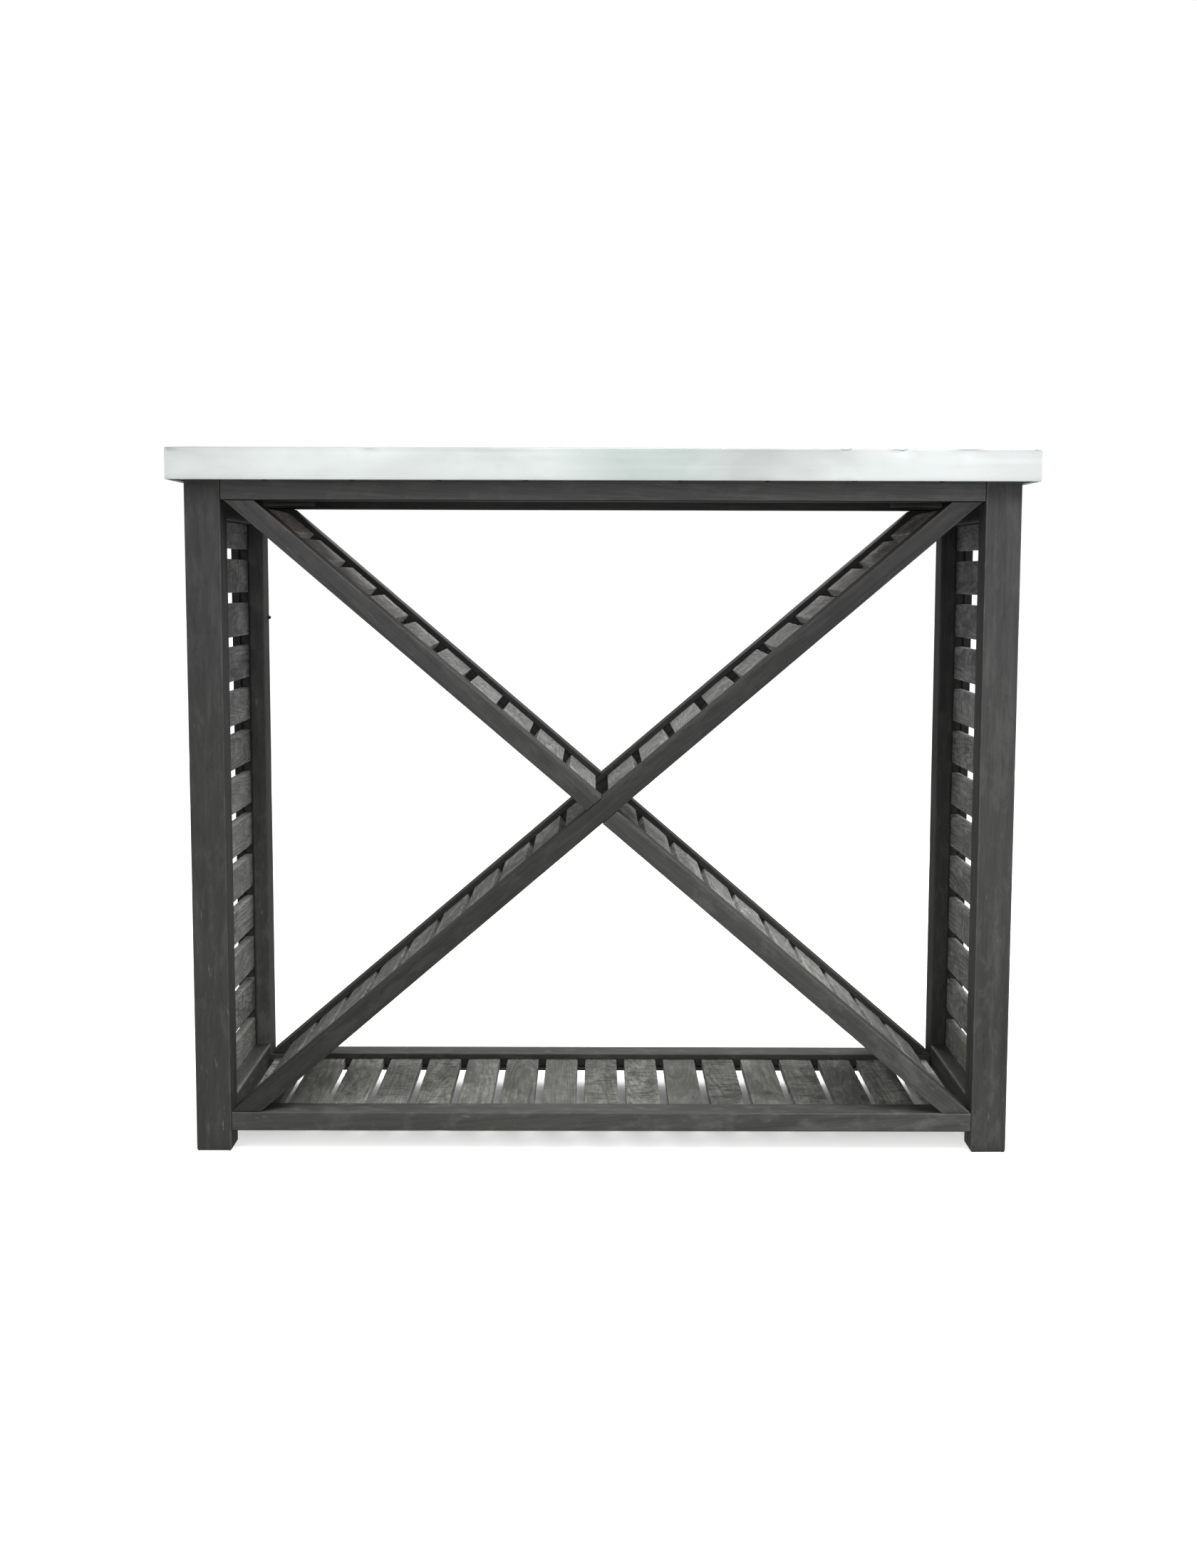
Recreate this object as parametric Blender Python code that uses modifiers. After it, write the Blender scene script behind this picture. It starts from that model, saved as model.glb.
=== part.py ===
"""A free-standing potting bench: four square legs under a zinc-covered top, slatted ends, a slatted
shelf near the floor, and two slatted boards that cross between them and make four storage bays.

Metres, +Z up. The origin is on the floor under the middle of the bench, +X is to the right and the
front faces -Y.
"""

import math

import bmesh
import bpy
from mathutils import Matrix, Vector

# Driving dimensions
HEIGHT = 0.900
FRAME_WIDTH = 1.048
FRAME_DEPTH = 0.350
TOP_THICKNESS = 0.040
TOP_OVERHANG = 0.020
LEG = 0.045
RAIL = 0.0245
SIDE_TOP_RAIL_HEIGHT = 0.048
SHELF_RAIL_BOTTOM = 0.027
SIDE_BOTTOM_RAIL_TOP = 0.066
ZINC = 0.001
ZINC_HEM = 0.012

# Slats: one board section for the shelf, the ends and the crossed boards
SLAT_WIDTH = 0.0455
SLAT_THICKNESS = 0.012
SLAT_RECESS = 0.007
HOUSING = 0.006
SHELF_SLATS = 17
SHELF_PITCH = 0.0563
SIDE_SLATS = 13
SIDE_PITCH = 0.060
SIDE_FIRST_BOTTOM = 0.0583
SIDE_SLAT_SETBACK = 0.022
BRACE_SLATS = 10
BRACE_PITCH = 0.0583
BRACE_SLATS_START = 0.015

# Where the ends of a brace stop short of the legs
BRACE_HEAD_GAP = 0.004
BRACE_FOOT_GAP = 0.0005

# Blocks that fix the top to the aprons
BLOCK_WIDTH = 0.072
BLOCK_DEPTH = 0.025
BLOCK_HEIGHT = 0.0215
BLOCK_TO_LEG = 0.004

# The one screw head that stands proud of a leg
SCREW_HEIGHT = 0.682
SCREW_HEAD_RADIUS = 0.0026
SCREW_HEAD_HEIGHT = 0.0035
SCREW_SHANK_RADIUS = 0.0015
SCREW_SHANK_LENGTH = 0.020
SCREW_FROM_BACK = 0.006
SCREW_SIDES = 20

GAP = 0.0003
EDGE = 0.0012
SLAT_EDGE = 0.0007
ZINC_EDGE = 0.0008
FOOT_EDGE = 0.003

# Planes that several pieces share
LEG_INNER_X = FRAME_WIDTH / 2 - LEG
LEG_CENTRE_X = FRAME_WIDTH / 2 - LEG / 2
LEG_INNER_Y = FRAME_DEPTH / 2 - LEG
LEG_CENTRE_Y = FRAME_DEPTH / 2 - LEG / 2
TOP_UNDERSIDE = HEIGHT - TOP_THICKNESS
BOARD_BOTTOM = TOP_UNDERSIDE + ZINC + GAP
FRAME_TOP = BOARD_BOTTOM - GAP
APRON_BOTTOM = TOP_UNDERSIDE - RAIL
SHELF_RAIL_TOP = SHELF_RAIL_BOTTOM + RAIL
SHELF_SLAT_TOP = SHELF_RAIL_TOP - SLAT_RECESS
SIDE_TOP_RAIL_BOTTOM = TOP_UNDERSIDE - SIDE_TOP_RAIL_HEIGHT
SIDE_SLAT_X = LEG_INNER_X + SIDE_SLAT_SETBACK + SLAT_THICKNESS / 2
SLAT_REACH = LEG_INNER_Y + HOUSING

# The braces rise between the shelf rail's top and the apron's underside
BRACE_RISE = APRON_BOTTOM - SHELF_RAIL_TOP
BRACE_RUN = 2 * LEG_INNER_X - BRACE_HEAD_GAP - BRACE_FOOT_GAP
BRACE_ANGLE = math.atan2(BRACE_RISE, BRACE_RUN) + math.asin(RAIL / math.hypot(BRACE_RISE, BRACE_RUN))
BRACE_HEAD_X = LEG_INNER_X - BRACE_HEAD_GAP
CROSSING_Z = (
    APRON_BOTTOM
    - BRACE_HEAD_X * math.tan(BRACE_ANGLE)
    + RAIL / 2 / math.cos(BRACE_ANGLE)
)

# Finishes: colour, roughness, metallic
CHARCOAL = ((0.072, 0.072, 0.074, 1), 0.62, 0.0)
WEATHERED = ((0.125, 0.122, 0.116, 1), 0.74, 0.0)
PALE_ZINC = ((0.60, 0.63, 0.63, 1), 0.38, 0.85)
BARE_BOARD = ((0.42, 0.33, 0.23, 1), 0.70, 0.0)
DARK_STEEL = ((0.08, 0.08, 0.085, 1), 0.45, 0.9)


def start_scene():
    """Empty the scene and make the collections for the parts and for their cutters."""
    for obj in list(bpy.data.objects):
        bpy.data.objects.remove(obj)
    parts = bpy.data.collections.new("potting_bench")
    cutters = bpy.data.collections.new("cutters")
    bpy.context.scene.collection.children.link(parts)
    bpy.context.scene.collection.children.link(cutters)
    return parts, cutters


PARTS, CUTTERS = start_scene()
BENCH = bpy.data.objects.new("bench_origin", None)
PARTS.objects.link(BENCH)


def finish_material(name, finish):
    """A Principled material of the given colour, roughness and metallic value."""
    colour, roughness, metallic = finish
    material = bpy.data.materials.new(name)
    material.use_nodes = True
    shader = material.node_tree.nodes["Principled BSDF"]
    shader.inputs["Base Color"].default_value = colour
    shader.inputs["Roughness"].default_value = roughness
    shader.inputs["Metallic"].default_value = metallic
    material.diffuse_color = colour
    return material


def box_mesh(name, size):
    """A box of the given size about its own origin."""
    mesh = bpy.data.meshes.new(name)
    bm = bmesh.new()
    bmesh.ops.create_cube(bm, size=1.0)
    bmesh.ops.scale(bm, vec=size, verts=bm.verts)
    bm.to_mesh(mesh)
    bm.free()
    return mesh


def add_part(name, mesh, location, finish, angle=0.0):
    """A named part of the bench, turned about Y by the angle, with its own material."""
    obj = bpy.data.objects.new(name, mesh)
    obj.location = location
    obj.rotation_euler = (0, angle, 0)
    obj.parent = BENCH
    obj.data.materials.append(finish_material(name + "_finish", finish))
    PARTS.objects.link(obj)
    return obj


def add_board(name, low, high, finish, edge=EDGE):
    """A rectangular board between two corners, with eased edges."""
    low, high = Vector(low), Vector(high)
    obj = add_part(name, box_mesh(name, high - low), (low + high) / 2, finish)
    ease_edges(obj, edge)
    return obj


def ease_edges(obj, width, segments=1):
    """Break the sharp edges of a piece."""
    bevel = obj.modifiers.new("eased_edges", "BEVEL")
    bevel.width = width
    bevel.segments = segments
    bevel.limit_method = "ANGLE"
    bevel.angle_limit = math.radians(35)


def add_cutter(name, boxes, location=(0, 0, 0), angle=0.0):
    """One cutter made of separate boxes, each given by its low and high corner."""
    mesh = bpy.data.meshes.new(name)
    bm = bmesh.new()
    for low, high in boxes:
        low, high = Vector(low), Vector(high)
        verts = bmesh.ops.create_cube(bm, size=1.0)["verts"]
        bmesh.ops.scale(bm, vec=high - low, verts=verts)
        bmesh.ops.translate(bm, vec=(low + high) / 2, verts=verts)
    bm.to_mesh(mesh)
    bm.free()
    return link_cutter(name, mesh, location, angle)


def link_cutter(name, mesh, location, angle=0.0):
    """Put a cutting shape beside the parts, where it shows only as a wire."""
    cutter = bpy.data.objects.new(name, mesh)
    cutter.location = location
    cutter.rotation_euler = (0, angle, 0)
    cutter.hide_render = True
    cutter.display_type = "WIRE"
    CUTTERS.objects.link(cutter)
    return cutter


def cut(obj, cutter):
    """Take the cutter's shape out of a piece."""
    boolean = obj.modifiers.new("cut_" + cutter.name, "BOOLEAN")
    boolean.operation = "DIFFERENCE"
    boolean.solver = "EXACT"
    boolean.object = cutter


def trim(mesh, matrix, point, normal):
    """Saw a mesh off flat along a world plane, keeping the side that the normal points away from."""
    to_local = matrix.inverted()
    bm = bmesh.new()
    bm.from_mesh(mesh)
    bmesh.ops.bisect_plane(
        bm,
        geom=bm.verts[:] + bm.edges[:] + bm.faces[:],
        plane_co=to_local @ Vector(point),
        plane_no=to_local.to_3x3() @ Vector(normal),
        clear_outer=True,
    )
    bmesh.ops.holes_fill(bm, edges=[edge for edge in bm.edges if edge.is_boundary], sides=0)
    bmesh.ops.recalc_face_normals(bm, faces=bm.faces)
    bm.to_mesh(mesh)
    bm.free()


def make_top():
    """The worktop: a board under a folded zinc sheet whose sides hem under its lower edge."""
    half_x = FRAME_WIDTH / 2 + TOP_OVERHANG
    half_y = FRAME_DEPTH / 2 + TOP_OVERHANG
    low, high = (-half_x, -half_y, TOP_UNDERSIDE), (half_x, half_y, HEIGHT)
    cover = add_board("worktop_zinc_cover", low, high, PALE_ZINC, ZINC_EDGE)
    inner_x, inner_y = half_x - ZINC, half_y - ZINC
    mouth_x, mouth_y = inner_x - ZINC_HEM, inner_y - ZINC_HEM
    hollow = (-inner_x, -inner_y, TOP_UNDERSIDE + ZINC), (inner_x, inner_y, HEIGHT - ZINC)
    mouth = (-mouth_x, -mouth_y, TOP_UNDERSIDE - ZINC), (mouth_x, mouth_y, HEIGHT - TOP_THICKNESS / 2)
    cut(cover, add_cutter("zinc_hollow_cutter", [hollow]))
    cut(cover, add_cutter("zinc_mouth_cutter", [mouth]))
    add_board(
        "worktop_board",
        (GAP - inner_x, GAP - inner_y, BOARD_BOTTOM),
        (inner_x - GAP, inner_y - GAP, HEIGHT - ZINC - GAP),
        BARE_BOARD,
        GAP,
    )


def add_leg(name, side_x, side_y):
    """A square leg with eased corners, a broken foot, and a housing for the end slats."""
    half = LEG / 2
    mesh = box_mesh(name, (LEG, LEG, FRAME_TOP))
    bm = bmesh.new()
    bm.from_mesh(mesh)
    foot = [edge for edge in bm.edges if all(vert.co.z < 0 for vert in edge.verts)]
    bmesh.ops.bevel(bm, geom=foot, offset=FOOT_EDGE, segments=2, profile=0.5, affect="EDGES")
    bm.to_mesh(mesh)
    bm.free()
    centre = (side_x * LEG_CENTRE_X, side_y * LEG_CENTRE_Y, FRAME_TOP / 2)
    leg = add_part(name, mesh, centre, CHARCOAL)
    ease_edges(leg, EDGE)
    slot_centre = side_x * SIDE_SLAT_X
    reach = sorted((side_y * (LEG_INNER_Y - half), side_y * (SLAT_REACH + GAP)))
    low = (slot_centre - SLAT_THICKNESS / 2 - GAP, reach[0], SIDE_FIRST_BOTTOM - GAP)
    high = (slot_centre + SLAT_THICKNESS / 2 + GAP, reach[1], side_slats_top() + GAP)
    cut(leg, add_cutter(name + "_housing", [(low, high)]))
    return leg


def side_slats_top():
    """The upper edge of the highest end slat."""
    return SIDE_FIRST_BOTTOM + (SIDE_SLATS - 1) * SIDE_PITCH + SLAT_WIDTH


def make_legs():
    """The four legs, and the screw that stands proud of one of them."""
    for depth_name, side_y in (("front", -1), ("rear", 1)):
        for side_name, side_x in (("left", -1), ("right", 1)):
            leg = add_leg("leg_%s_%s" % (depth_name, side_name), side_x, side_y)
            if (depth_name, side_name) == ("rear", "left"):
                add_screw(leg)


def add_screw(leg):
    """The proud screw in the rear left leg: a domed head outside a shank that sits in its own hole."""
    place = (-LEG_INNER_X, FRAME_DEPTH / 2 - SCREW_FROM_BACK, SCREW_HEIGHT)
    along_x = math.radians(90)
    mesh = bpy.data.meshes.new("leg_screw")
    bm = bmesh.new()
    profile = [
        (0, SCREW_HEAD_HEIGHT + GAP),
        (SCREW_HEAD_RADIUS * 0.55, SCREW_HEAD_HEIGHT * 0.85 + GAP),
        (SCREW_HEAD_RADIUS, SCREW_HEAD_HEIGHT * 0.35 + GAP),
        (SCREW_HEAD_RADIUS, GAP),
        (SCREW_SHANK_RADIUS, GAP),
        (SCREW_SHANK_RADIUS, -SCREW_SHANK_LENGTH),
        (0, -SCREW_SHANK_LENGTH - SCREW_SHANK_RADIUS),
    ]
    verts = [bm.verts.new((radius, 0, height)) for radius, height in profile]
    for first, second in zip(verts, verts[1:]):
        bm.edges.new((first, second))
    bm.to_mesh(mesh)
    bm.free()
    screw = add_part("leg_screw", mesh, place, DARK_STEEL, along_x)
    turn = screw.modifiers.new("turned", "SCREW")
    turn.steps = SCREW_SIDES
    turn.render_steps = SCREW_SIDES
    turn.use_merge_vertices = True
    turn.merge_threshold = 0.00005
    turn.use_smooth_shade = True
    hole = bpy.data.meshes.new("leg_screw_hole")
    bm = bmesh.new()
    bmesh.ops.create_cone(
        bm,
        cap_ends=True,
        segments=SCREW_SIDES,
        radius1=SCREW_SHANK_RADIUS + GAP,
        radius2=SCREW_SHANK_RADIUS + GAP,
        depth=2 * (SCREW_SHANK_LENGTH + 2 * SCREW_SHANK_RADIUS),
    )
    bm.to_mesh(hole)
    bm.free()
    cut(leg, link_cutter("leg_screw_hole", hole, place, along_x))


def make_long_rails():
    """The aprons under the top and the rails that carry the shelf, front and rear."""
    reach_x = LEG_INNER_X - GAP
    half_row = shelf_row_half_length()
    for depth_name, side_y in (("front", -1), ("rear", 1)):
        near, far = sorted((side_y * LEG_INNER_Y, side_y * FRAME_DEPTH / 2))
        low, high = (-reach_x, near, APRON_BOTTOM), (reach_x, far, FRAME_TOP)
        add_board("apron_" + depth_name, low, high, CHARCOAL)
        rail = add_board(
            "shelf_rail_" + depth_name,
            (-reach_x, near, SHELF_RAIL_BOTTOM),
            (reach_x, far, SHELF_RAIL_TOP),
            CHARCOAL,
        )
        slot = sorted((0, side_y * (SLAT_REACH + GAP)))
        low = (-half_row - GAP, slot[0], SHELF_SLAT_TOP - SLAT_THICKNESS - GAP)
        high = (half_row + GAP, slot[1], SHELF_SLAT_TOP + GAP)
        cut(rail, add_cutter("shelf_rail_%s_housing" % depth_name, [(low, high)]))


def make_side_rails():
    """The rails that run front to back at the head and the foot of each slatted end."""
    reach_y = LEG_INNER_Y - GAP
    slats_top = side_slats_top()
    for side_name, side_x in (("left", -1), ("right", 1)):
        near, far = sorted((side_x * LEG_INNER_X, side_x * FRAME_WIDTH / 2))
        slot_low = side_x * SIDE_SLAT_X - SLAT_THICKNESS / 2 - GAP
        slot_high = side_x * SIDE_SLAT_X + SLAT_THICKNESS / 2 + GAP
        head = add_board(
            "side_top_rail_" + side_name,
            (near, -reach_y, SIDE_TOP_RAIL_BOTTOM),
            (far, reach_y, FRAME_TOP),
            CHARCOAL,
        )
        head_slot = (
            (slot_low, -SLAT_REACH, slats_top - SLAT_WIDTH),
            (slot_high, SLAT_REACH, slats_top + GAP),
        )
        cut(head, add_cutter("side_top_rail_%s_housing" % side_name, [head_slot]))
        foot = add_board(
            "side_bottom_rail_" + side_name,
            (near, -reach_y, SHELF_RAIL_BOTTOM),
            (far, reach_y, SIDE_BOTTOM_RAIL_TOP),
            CHARCOAL,
        )
        foot_slot = (
            (slot_low, -SLAT_REACH, SIDE_FIRST_BOTTOM - GAP),
            (slot_high, SLAT_REACH, SIDE_FIRST_BOTTOM + SLAT_WIDTH),
        )
        cut(foot, add_cutter("side_bottom_rail_%s_housing" % side_name, [foot_slot]))


def make_side_slats():
    """The level slats of the two ends, each housed in the legs at both its ends."""
    for side_name, side_x in (("left", -1), ("right", 1)):
        centre = side_x * SIDE_SLAT_X
        for index in range(SIDE_SLATS):
            bottom = SIDE_FIRST_BOTTOM + index * SIDE_PITCH
            add_board(
                "side_slat_%s_%02d" % (side_name, index + 1),
                (centre - SLAT_THICKNESS / 2, -SLAT_REACH, bottom),
                (centre + SLAT_THICKNESS / 2, SLAT_REACH, bottom + SLAT_WIDTH),
                WEATHERED,
                SLAT_EDGE,
            )


def row_gaps(count, pitch, start=0.0):
    """The stretches between the slats of a row that starts at the given distance."""
    return [
        (start + index * pitch + SLAT_WIDTH, start + (index + 1) * pitch) for index in range(count - 1)
    ]


def shelf_row_half_length():
    """Half the length of the shelf's row of slats."""
    return ((SHELF_SLATS - 1) * SHELF_PITCH + SLAT_WIDTH) / 2


def make_shelf_slats():
    """The shelf: a row of slats that run front to back, joined inside the rails by their tongues."""
    half_row = shelf_row_half_length()
    bottom = SHELF_SLAT_TOP - SLAT_THICKNESS
    low, high = (-half_row, -SLAT_REACH, bottom), (half_row, SLAT_REACH, SHELF_SLAT_TOP)
    shelf = add_board("shelf_slats", low, high, WEATHERED, SLAT_EDGE)
    open_y = LEG_INNER_Y + GAP
    gaps = [
        ((start, -open_y, bottom - RAIL), (end, open_y, SHELF_RAIL_TOP + RAIL))
        for start, end in row_gaps(SHELF_SLATS, SHELF_PITCH, -half_row)
    ]
    cut(shelf, add_cutter("shelf_gaps", gaps))


def brace_frame(rising):
    """The rotation about Y that lays local +X along a brace, and its axis and face directions."""
    angle = -BRACE_ANGLE if rising else BRACE_ANGLE
    turn = Matrix.Rotation(angle, 3, "Y")
    return angle, turn @ Vector((1, 0, 0)), turn @ Vector((0, 0, 1))


def add_brace(name, side_y, rising, stops):
    """One bar of the cross, front or rear, sawn off at the given planes."""
    angle, _, _ = brace_frame(rising)
    length = 2 * math.hypot(BRACE_RUN, BRACE_RISE)
    location = Vector((0, side_y * LEG_CENTRE_Y, CROSSING_Z))
    mesh = box_mesh(name, (length, LEG, RAIL))
    matrix = Matrix.Translation(location) @ Matrix.Rotation(angle, 4, "Y")
    for point, normal in stops:
        trim(mesh, matrix, point, normal)
    bar = add_part(name, mesh, location, CHARCOAL, angle)
    ease_edges(bar, EDGE)
    return bar


def brace_slots(side_y, spans):
    """The housings along a bar, in the brace's own frame."""
    mouth = LEG_INNER_Y - LEG_CENTRE_Y - LEG
    inner = sorted((side_y * mouth, side_y * (SLAT_REACH + GAP - LEG_CENTRE_Y)))
    top = RAIL / 2 - SLAT_RECESS
    return [
        ((start - GAP, inner[0], top - SLAT_THICKNESS - GAP), (end + GAP, inner[1], top + GAP))
        for start, end in spans
    ]


def brace_row():
    """Where an arm's row of slats begins and ends, measured out from the crossing."""
    return BRACE_SLATS_START, BRACE_SLATS_START + (BRACE_SLATS - 1) * BRACE_PITCH + SLAT_WIDTH


def make_braces():
    """The crossed bars. The rising pair runs through and the falling pair is cut in two against it."""
    head = ((0, 0, APRON_BOTTOM - GAP), (0, 0, 1))
    foot = ((0, 0, SHELF_RAIL_TOP + GAP), (0, 0, -1))
    _, _, up = brace_frame(True)
    crossing = Vector((0, 0, CROSSING_Z))
    above = (crossing + up * (RAIL / 2 + GAP), -up)
    below = (crossing - up * (RAIL / 2 + GAP), up)
    start, end = brace_row()
    inward, outward = (-end, -start), (start, end)
    for depth_name, side_y in (("front", -1), ("rear", 1)):
        full = add_brace("brace_%s_rising" % depth_name, side_y, True, [head, foot])
        upper_half = add_brace("brace_%s_upper_left" % depth_name, side_y, False, [head, above])
        lower_half = add_brace("brace_%s_lower_right" % depth_name, side_y, False, [foot, below])
        centre = (0, side_y * LEG_CENTRE_Y, CROSSING_Z)
        slotted = (
            (full, [inward, outward], -BRACE_ANGLE),
            (upper_half, [inward], BRACE_ANGLE),
            (lower_half, [outward], BRACE_ANGLE),
        )
        for bar, spans, angle in slotted:
            cut(bar, add_cutter(bar.name + "_housing", brace_slots(side_y, spans), centre, angle))


def make_brace_slats():
    """The four slatted arms of the cross, each row joined inside the bars by its tongues."""
    rows = (
        ("brace_slats_upper_left", False, -1),
        ("brace_slats_upper_right", True, 1),
        ("brace_slats_lower_left", True, -1),
        ("brace_slats_lower_right", False, 1),
    )
    open_y = LEG_INNER_Y + GAP
    start, end = brace_row()
    for name, rising, direction in rows:
        angle, along, up = brace_frame(rising)
        middle = direction * (start + end) / 2
        rise = RAIL / 2 - SLAT_RECESS - SLAT_THICKNESS / 2
        location = Vector((0, 0, CROSSING_Z)) + along * middle + up * rise
        mesh = box_mesh(name, (end - start, 2 * SLAT_REACH, SLAT_THICKNESS))
        row = add_part(name, mesh, location, WEATHERED, angle)
        ease_edges(row, SLAT_EDGE)
        half_row = (end - start) / 2
        gaps = [
            ((low, -open_y, -RAIL), (high, open_y, RAIL))
            for low, high in row_gaps(BRACE_SLATS, BRACE_PITCH, -half_row)
        ]
        cut(row, add_cutter(name + "_gaps", gaps, location, angle))


def make_top_blocks():
    """The blocks behind the aprons that hold the top down, one near each leg."""
    for depth_name, side_y in (("front", -1), ("rear", 1)):
        near, far = sorted((side_y * (LEG_INNER_Y - GAP), side_y * (LEG_INNER_Y - GAP - BLOCK_DEPTH)))
        for side_name, side_x in (("left", -1), ("right", 1)):
            outer = LEG_INNER_X - BLOCK_TO_LEG
            left, right = sorted((side_x * outer, side_x * (outer - BLOCK_WIDTH)))
            add_board(
                "top_block_%s_%s" % (depth_name, side_name),
                (left, near, TOP_UNDERSIDE - BLOCK_HEIGHT),
                (right, far, FRAME_TOP),
                CHARCOAL,
            )


make_top()
make_legs()
make_long_rails()
make_side_rails()
make_side_slats()
make_shelf_slats()
make_braces()
make_brace_slats()
make_top_blocks()
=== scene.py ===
"""Looks of the potting bench: planed and stained frame timber, rough-sawn slats, and a zinc-covered top.

Metres, +Z up, front towards -Y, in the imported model's own frame. Every board is a mesh of its own with worn
corners and a grained surface, built where its CAD node stands.
"""

import itertools
import math
from functools import reduce

import bmesh
import bpy
import numpy as np
from mathutils import Matrix, Vector


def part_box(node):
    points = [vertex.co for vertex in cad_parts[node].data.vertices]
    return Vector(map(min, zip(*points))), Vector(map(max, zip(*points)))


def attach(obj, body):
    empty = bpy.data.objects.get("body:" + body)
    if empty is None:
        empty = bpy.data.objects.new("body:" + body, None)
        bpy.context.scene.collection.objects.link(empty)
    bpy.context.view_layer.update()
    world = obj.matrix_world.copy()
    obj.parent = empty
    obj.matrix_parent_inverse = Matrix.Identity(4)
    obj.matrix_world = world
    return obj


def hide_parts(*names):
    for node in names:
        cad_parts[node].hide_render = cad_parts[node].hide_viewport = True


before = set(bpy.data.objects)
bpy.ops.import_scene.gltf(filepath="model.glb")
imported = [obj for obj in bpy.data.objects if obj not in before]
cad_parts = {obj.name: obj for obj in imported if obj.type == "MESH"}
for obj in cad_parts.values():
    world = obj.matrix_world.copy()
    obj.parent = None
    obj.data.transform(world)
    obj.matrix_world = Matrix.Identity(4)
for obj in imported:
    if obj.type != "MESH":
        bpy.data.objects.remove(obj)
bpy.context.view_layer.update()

# Sizes of timber and sheet, and spacings, that the frame's boxes don't give
RAIL = 0.0245
LEG = 0.045
SLAT_WIDTH = 0.0455
SLAT_THICKNESS = 0.012
SLAT_RECESS = 0.007
SHELF_SLATS = 17
SIDE_SLATS = 13
BRACE_SLATS = 10
BRACE_PITCH = 0.0583
BRACE_SLATS_START = 0.015
BRACE_HEAD_GAP = 0.004
BRACE_FOOT_GAP = 0.0005
SLAT_REACH = 0.136
GAP = 0.0003
WORKTOP_CLEAR = 0.0012
ZINC = 0.001
ZINC_HEM = 0.012
ZINC_FOLD = 0.0016
ZINC_LOWER_FOLD = 0.0010
ZINC_TUCK = 0.0006
# Reach and width of the painted dark reflection along the top of the fold
FOLD_LINE_REACH = 0.0022
FOLD_LINE_WIDTH = 0.0014

# How much darker (above 0) or paler (below 0) a board is than usual: partly stain, and partly painted light
# and shade.
# Beyond -1 and 1 it changes no more. A pair gives a board's two ends, or the first and the last slat of a
# row.
STAIN = {
    "leg_front_left": (0.22, -0.04),
    "leg_front_right": (-0.12, -0.42),
    "leg_rear_left": (-0.50, -0.42),
    "leg_rear_right": 0.22,
    "apron_front": (-0.38, -0.85),
    "apron_rear": 0.12,
    "shelf_rail_front": (0.10, -0.34),
    "brace_front_rising": (0.62, 0.24),
    "brace_rear_rising": 0.19,
    "brace_front_upper_left": (-0.08, 0.0),
    "brace_front_lower_right": -0.25,
}
# Painted shade on a leg's face beside and behind the end slats, and in the housing that holds them
BEHIND_SLATS_STAIN = 0.85
HOUSING_STAIN = 0.40
# Painted light on the upper faces of the shelf rails
RAIL_TOP_STAIN = {"front": -0.76, "rear": -1.00}
# Painted shade along the lower corners of the aprons and shelf rails
RAIL_UNDER_STAIN = 0.90
# A painted highlight along every corner of the side rails and the blocks
PALE_ARRIS_STAIN = -1.0
# Stain and painted light and shade down the slats of each end, from the lowest slat to the highest
END_SLAT_STAIN = (0.15, -0.25)
# Stain and painted light and shade along each arm of the cross, from the slat nearest the crossing outwards
BRACE_SLAT_STAIN = {
    "upper_left": (0.00, -1.35),
    "upper_right": (0.05, -0.85),
    "lower_left": (-0.15, 0.48),
    "lower_right": (-0.75, -0.15),
}
# One for each slat of the shelf, from the left: stain, and painted light and shade where the arms of the
# cross shade the shelf
SHELF_SLAT_STAIN = (
    (0.20, -1.00, -1.00, -0.03, 0.14, 0.05)
    + (0.36, 0.45, 0.08, -0.20, 0.46, 0.08)
    + (0.10, -0.12, 0.30, -0.10, -1.00)
)

# Wear of the timber
PLANED_ARRIS = 0.0014
SAWN_ARRIS = 0.0010
FOOT_ARRIS = 0.0032
HIDDEN_ARRIS = 0.002
KNOCK = 0.0011
RAGGED = 0.0009
SAWN_PROUD = 0.0002
CORNER_WEAR_REACH = 0.0022
END_WEAR_REACH = 0.003
SHEAR_REACH = 0.07
KNOT_CHANCE = 0.22
SMOOTH_ANGLE = math.radians(50)

# The spacing of the points that carry the relief: along a board, across it, and over the zinc
PLANED_STEP = 0.0070
PLANED_SPACING = 0.0042
SAWN_STEP = 0.0026
SAWN_SPACING = 0.0023
HIDDEN_STEP = 0.012
ZINC_STEP = 0.007
ZINC_EDGE_STEP = 0.003

# The sides of the bench, and their directions along Y and along X
FRONT_REAR = (("front", -1), ("rear", 1))
LEFT_RIGHT = (("left", -1), ("right", 1))

# Seeds: one after another for the boards, and one for the waves of the zinc
SEEDS = itertools.count(101)
ZINC_SEED = 41

# Planes that several pieces share, read from the frame
LEG_LOW, LEG_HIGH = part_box("leg_front_right")
LEG_INNER_X = LEG_LOW.x
LEG_INNER_Y = -LEG_HIGH.y
LEG_CENTRE_Y = -(LEG_LOW.y + LEG_HIGH.y) / 2
APRON_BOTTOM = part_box("apron_front")[0].z
SHELF_RAIL_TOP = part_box("shelf_rail_front")[1].z
BRACE_RISE = APRON_BOTTOM - SHELF_RAIL_TOP
BRACE_RUN = 2 * LEG_INNER_X - BRACE_HEAD_GAP - BRACE_FOOT_GAP
BRACE_ANGLE = math.atan2(BRACE_RISE, BRACE_RUN) + math.asin(RAIL / math.hypot(BRACE_RISE, BRACE_RUN))
BRACE_HEAD_X = LEG_INNER_X - BRACE_HEAD_GAP
CROSSING_Z = APRON_BOTTOM - BRACE_HEAD_X * math.tan(BRACE_ANGLE) + RAIL / 2 / math.cos(BRACE_ANGLE)

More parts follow.
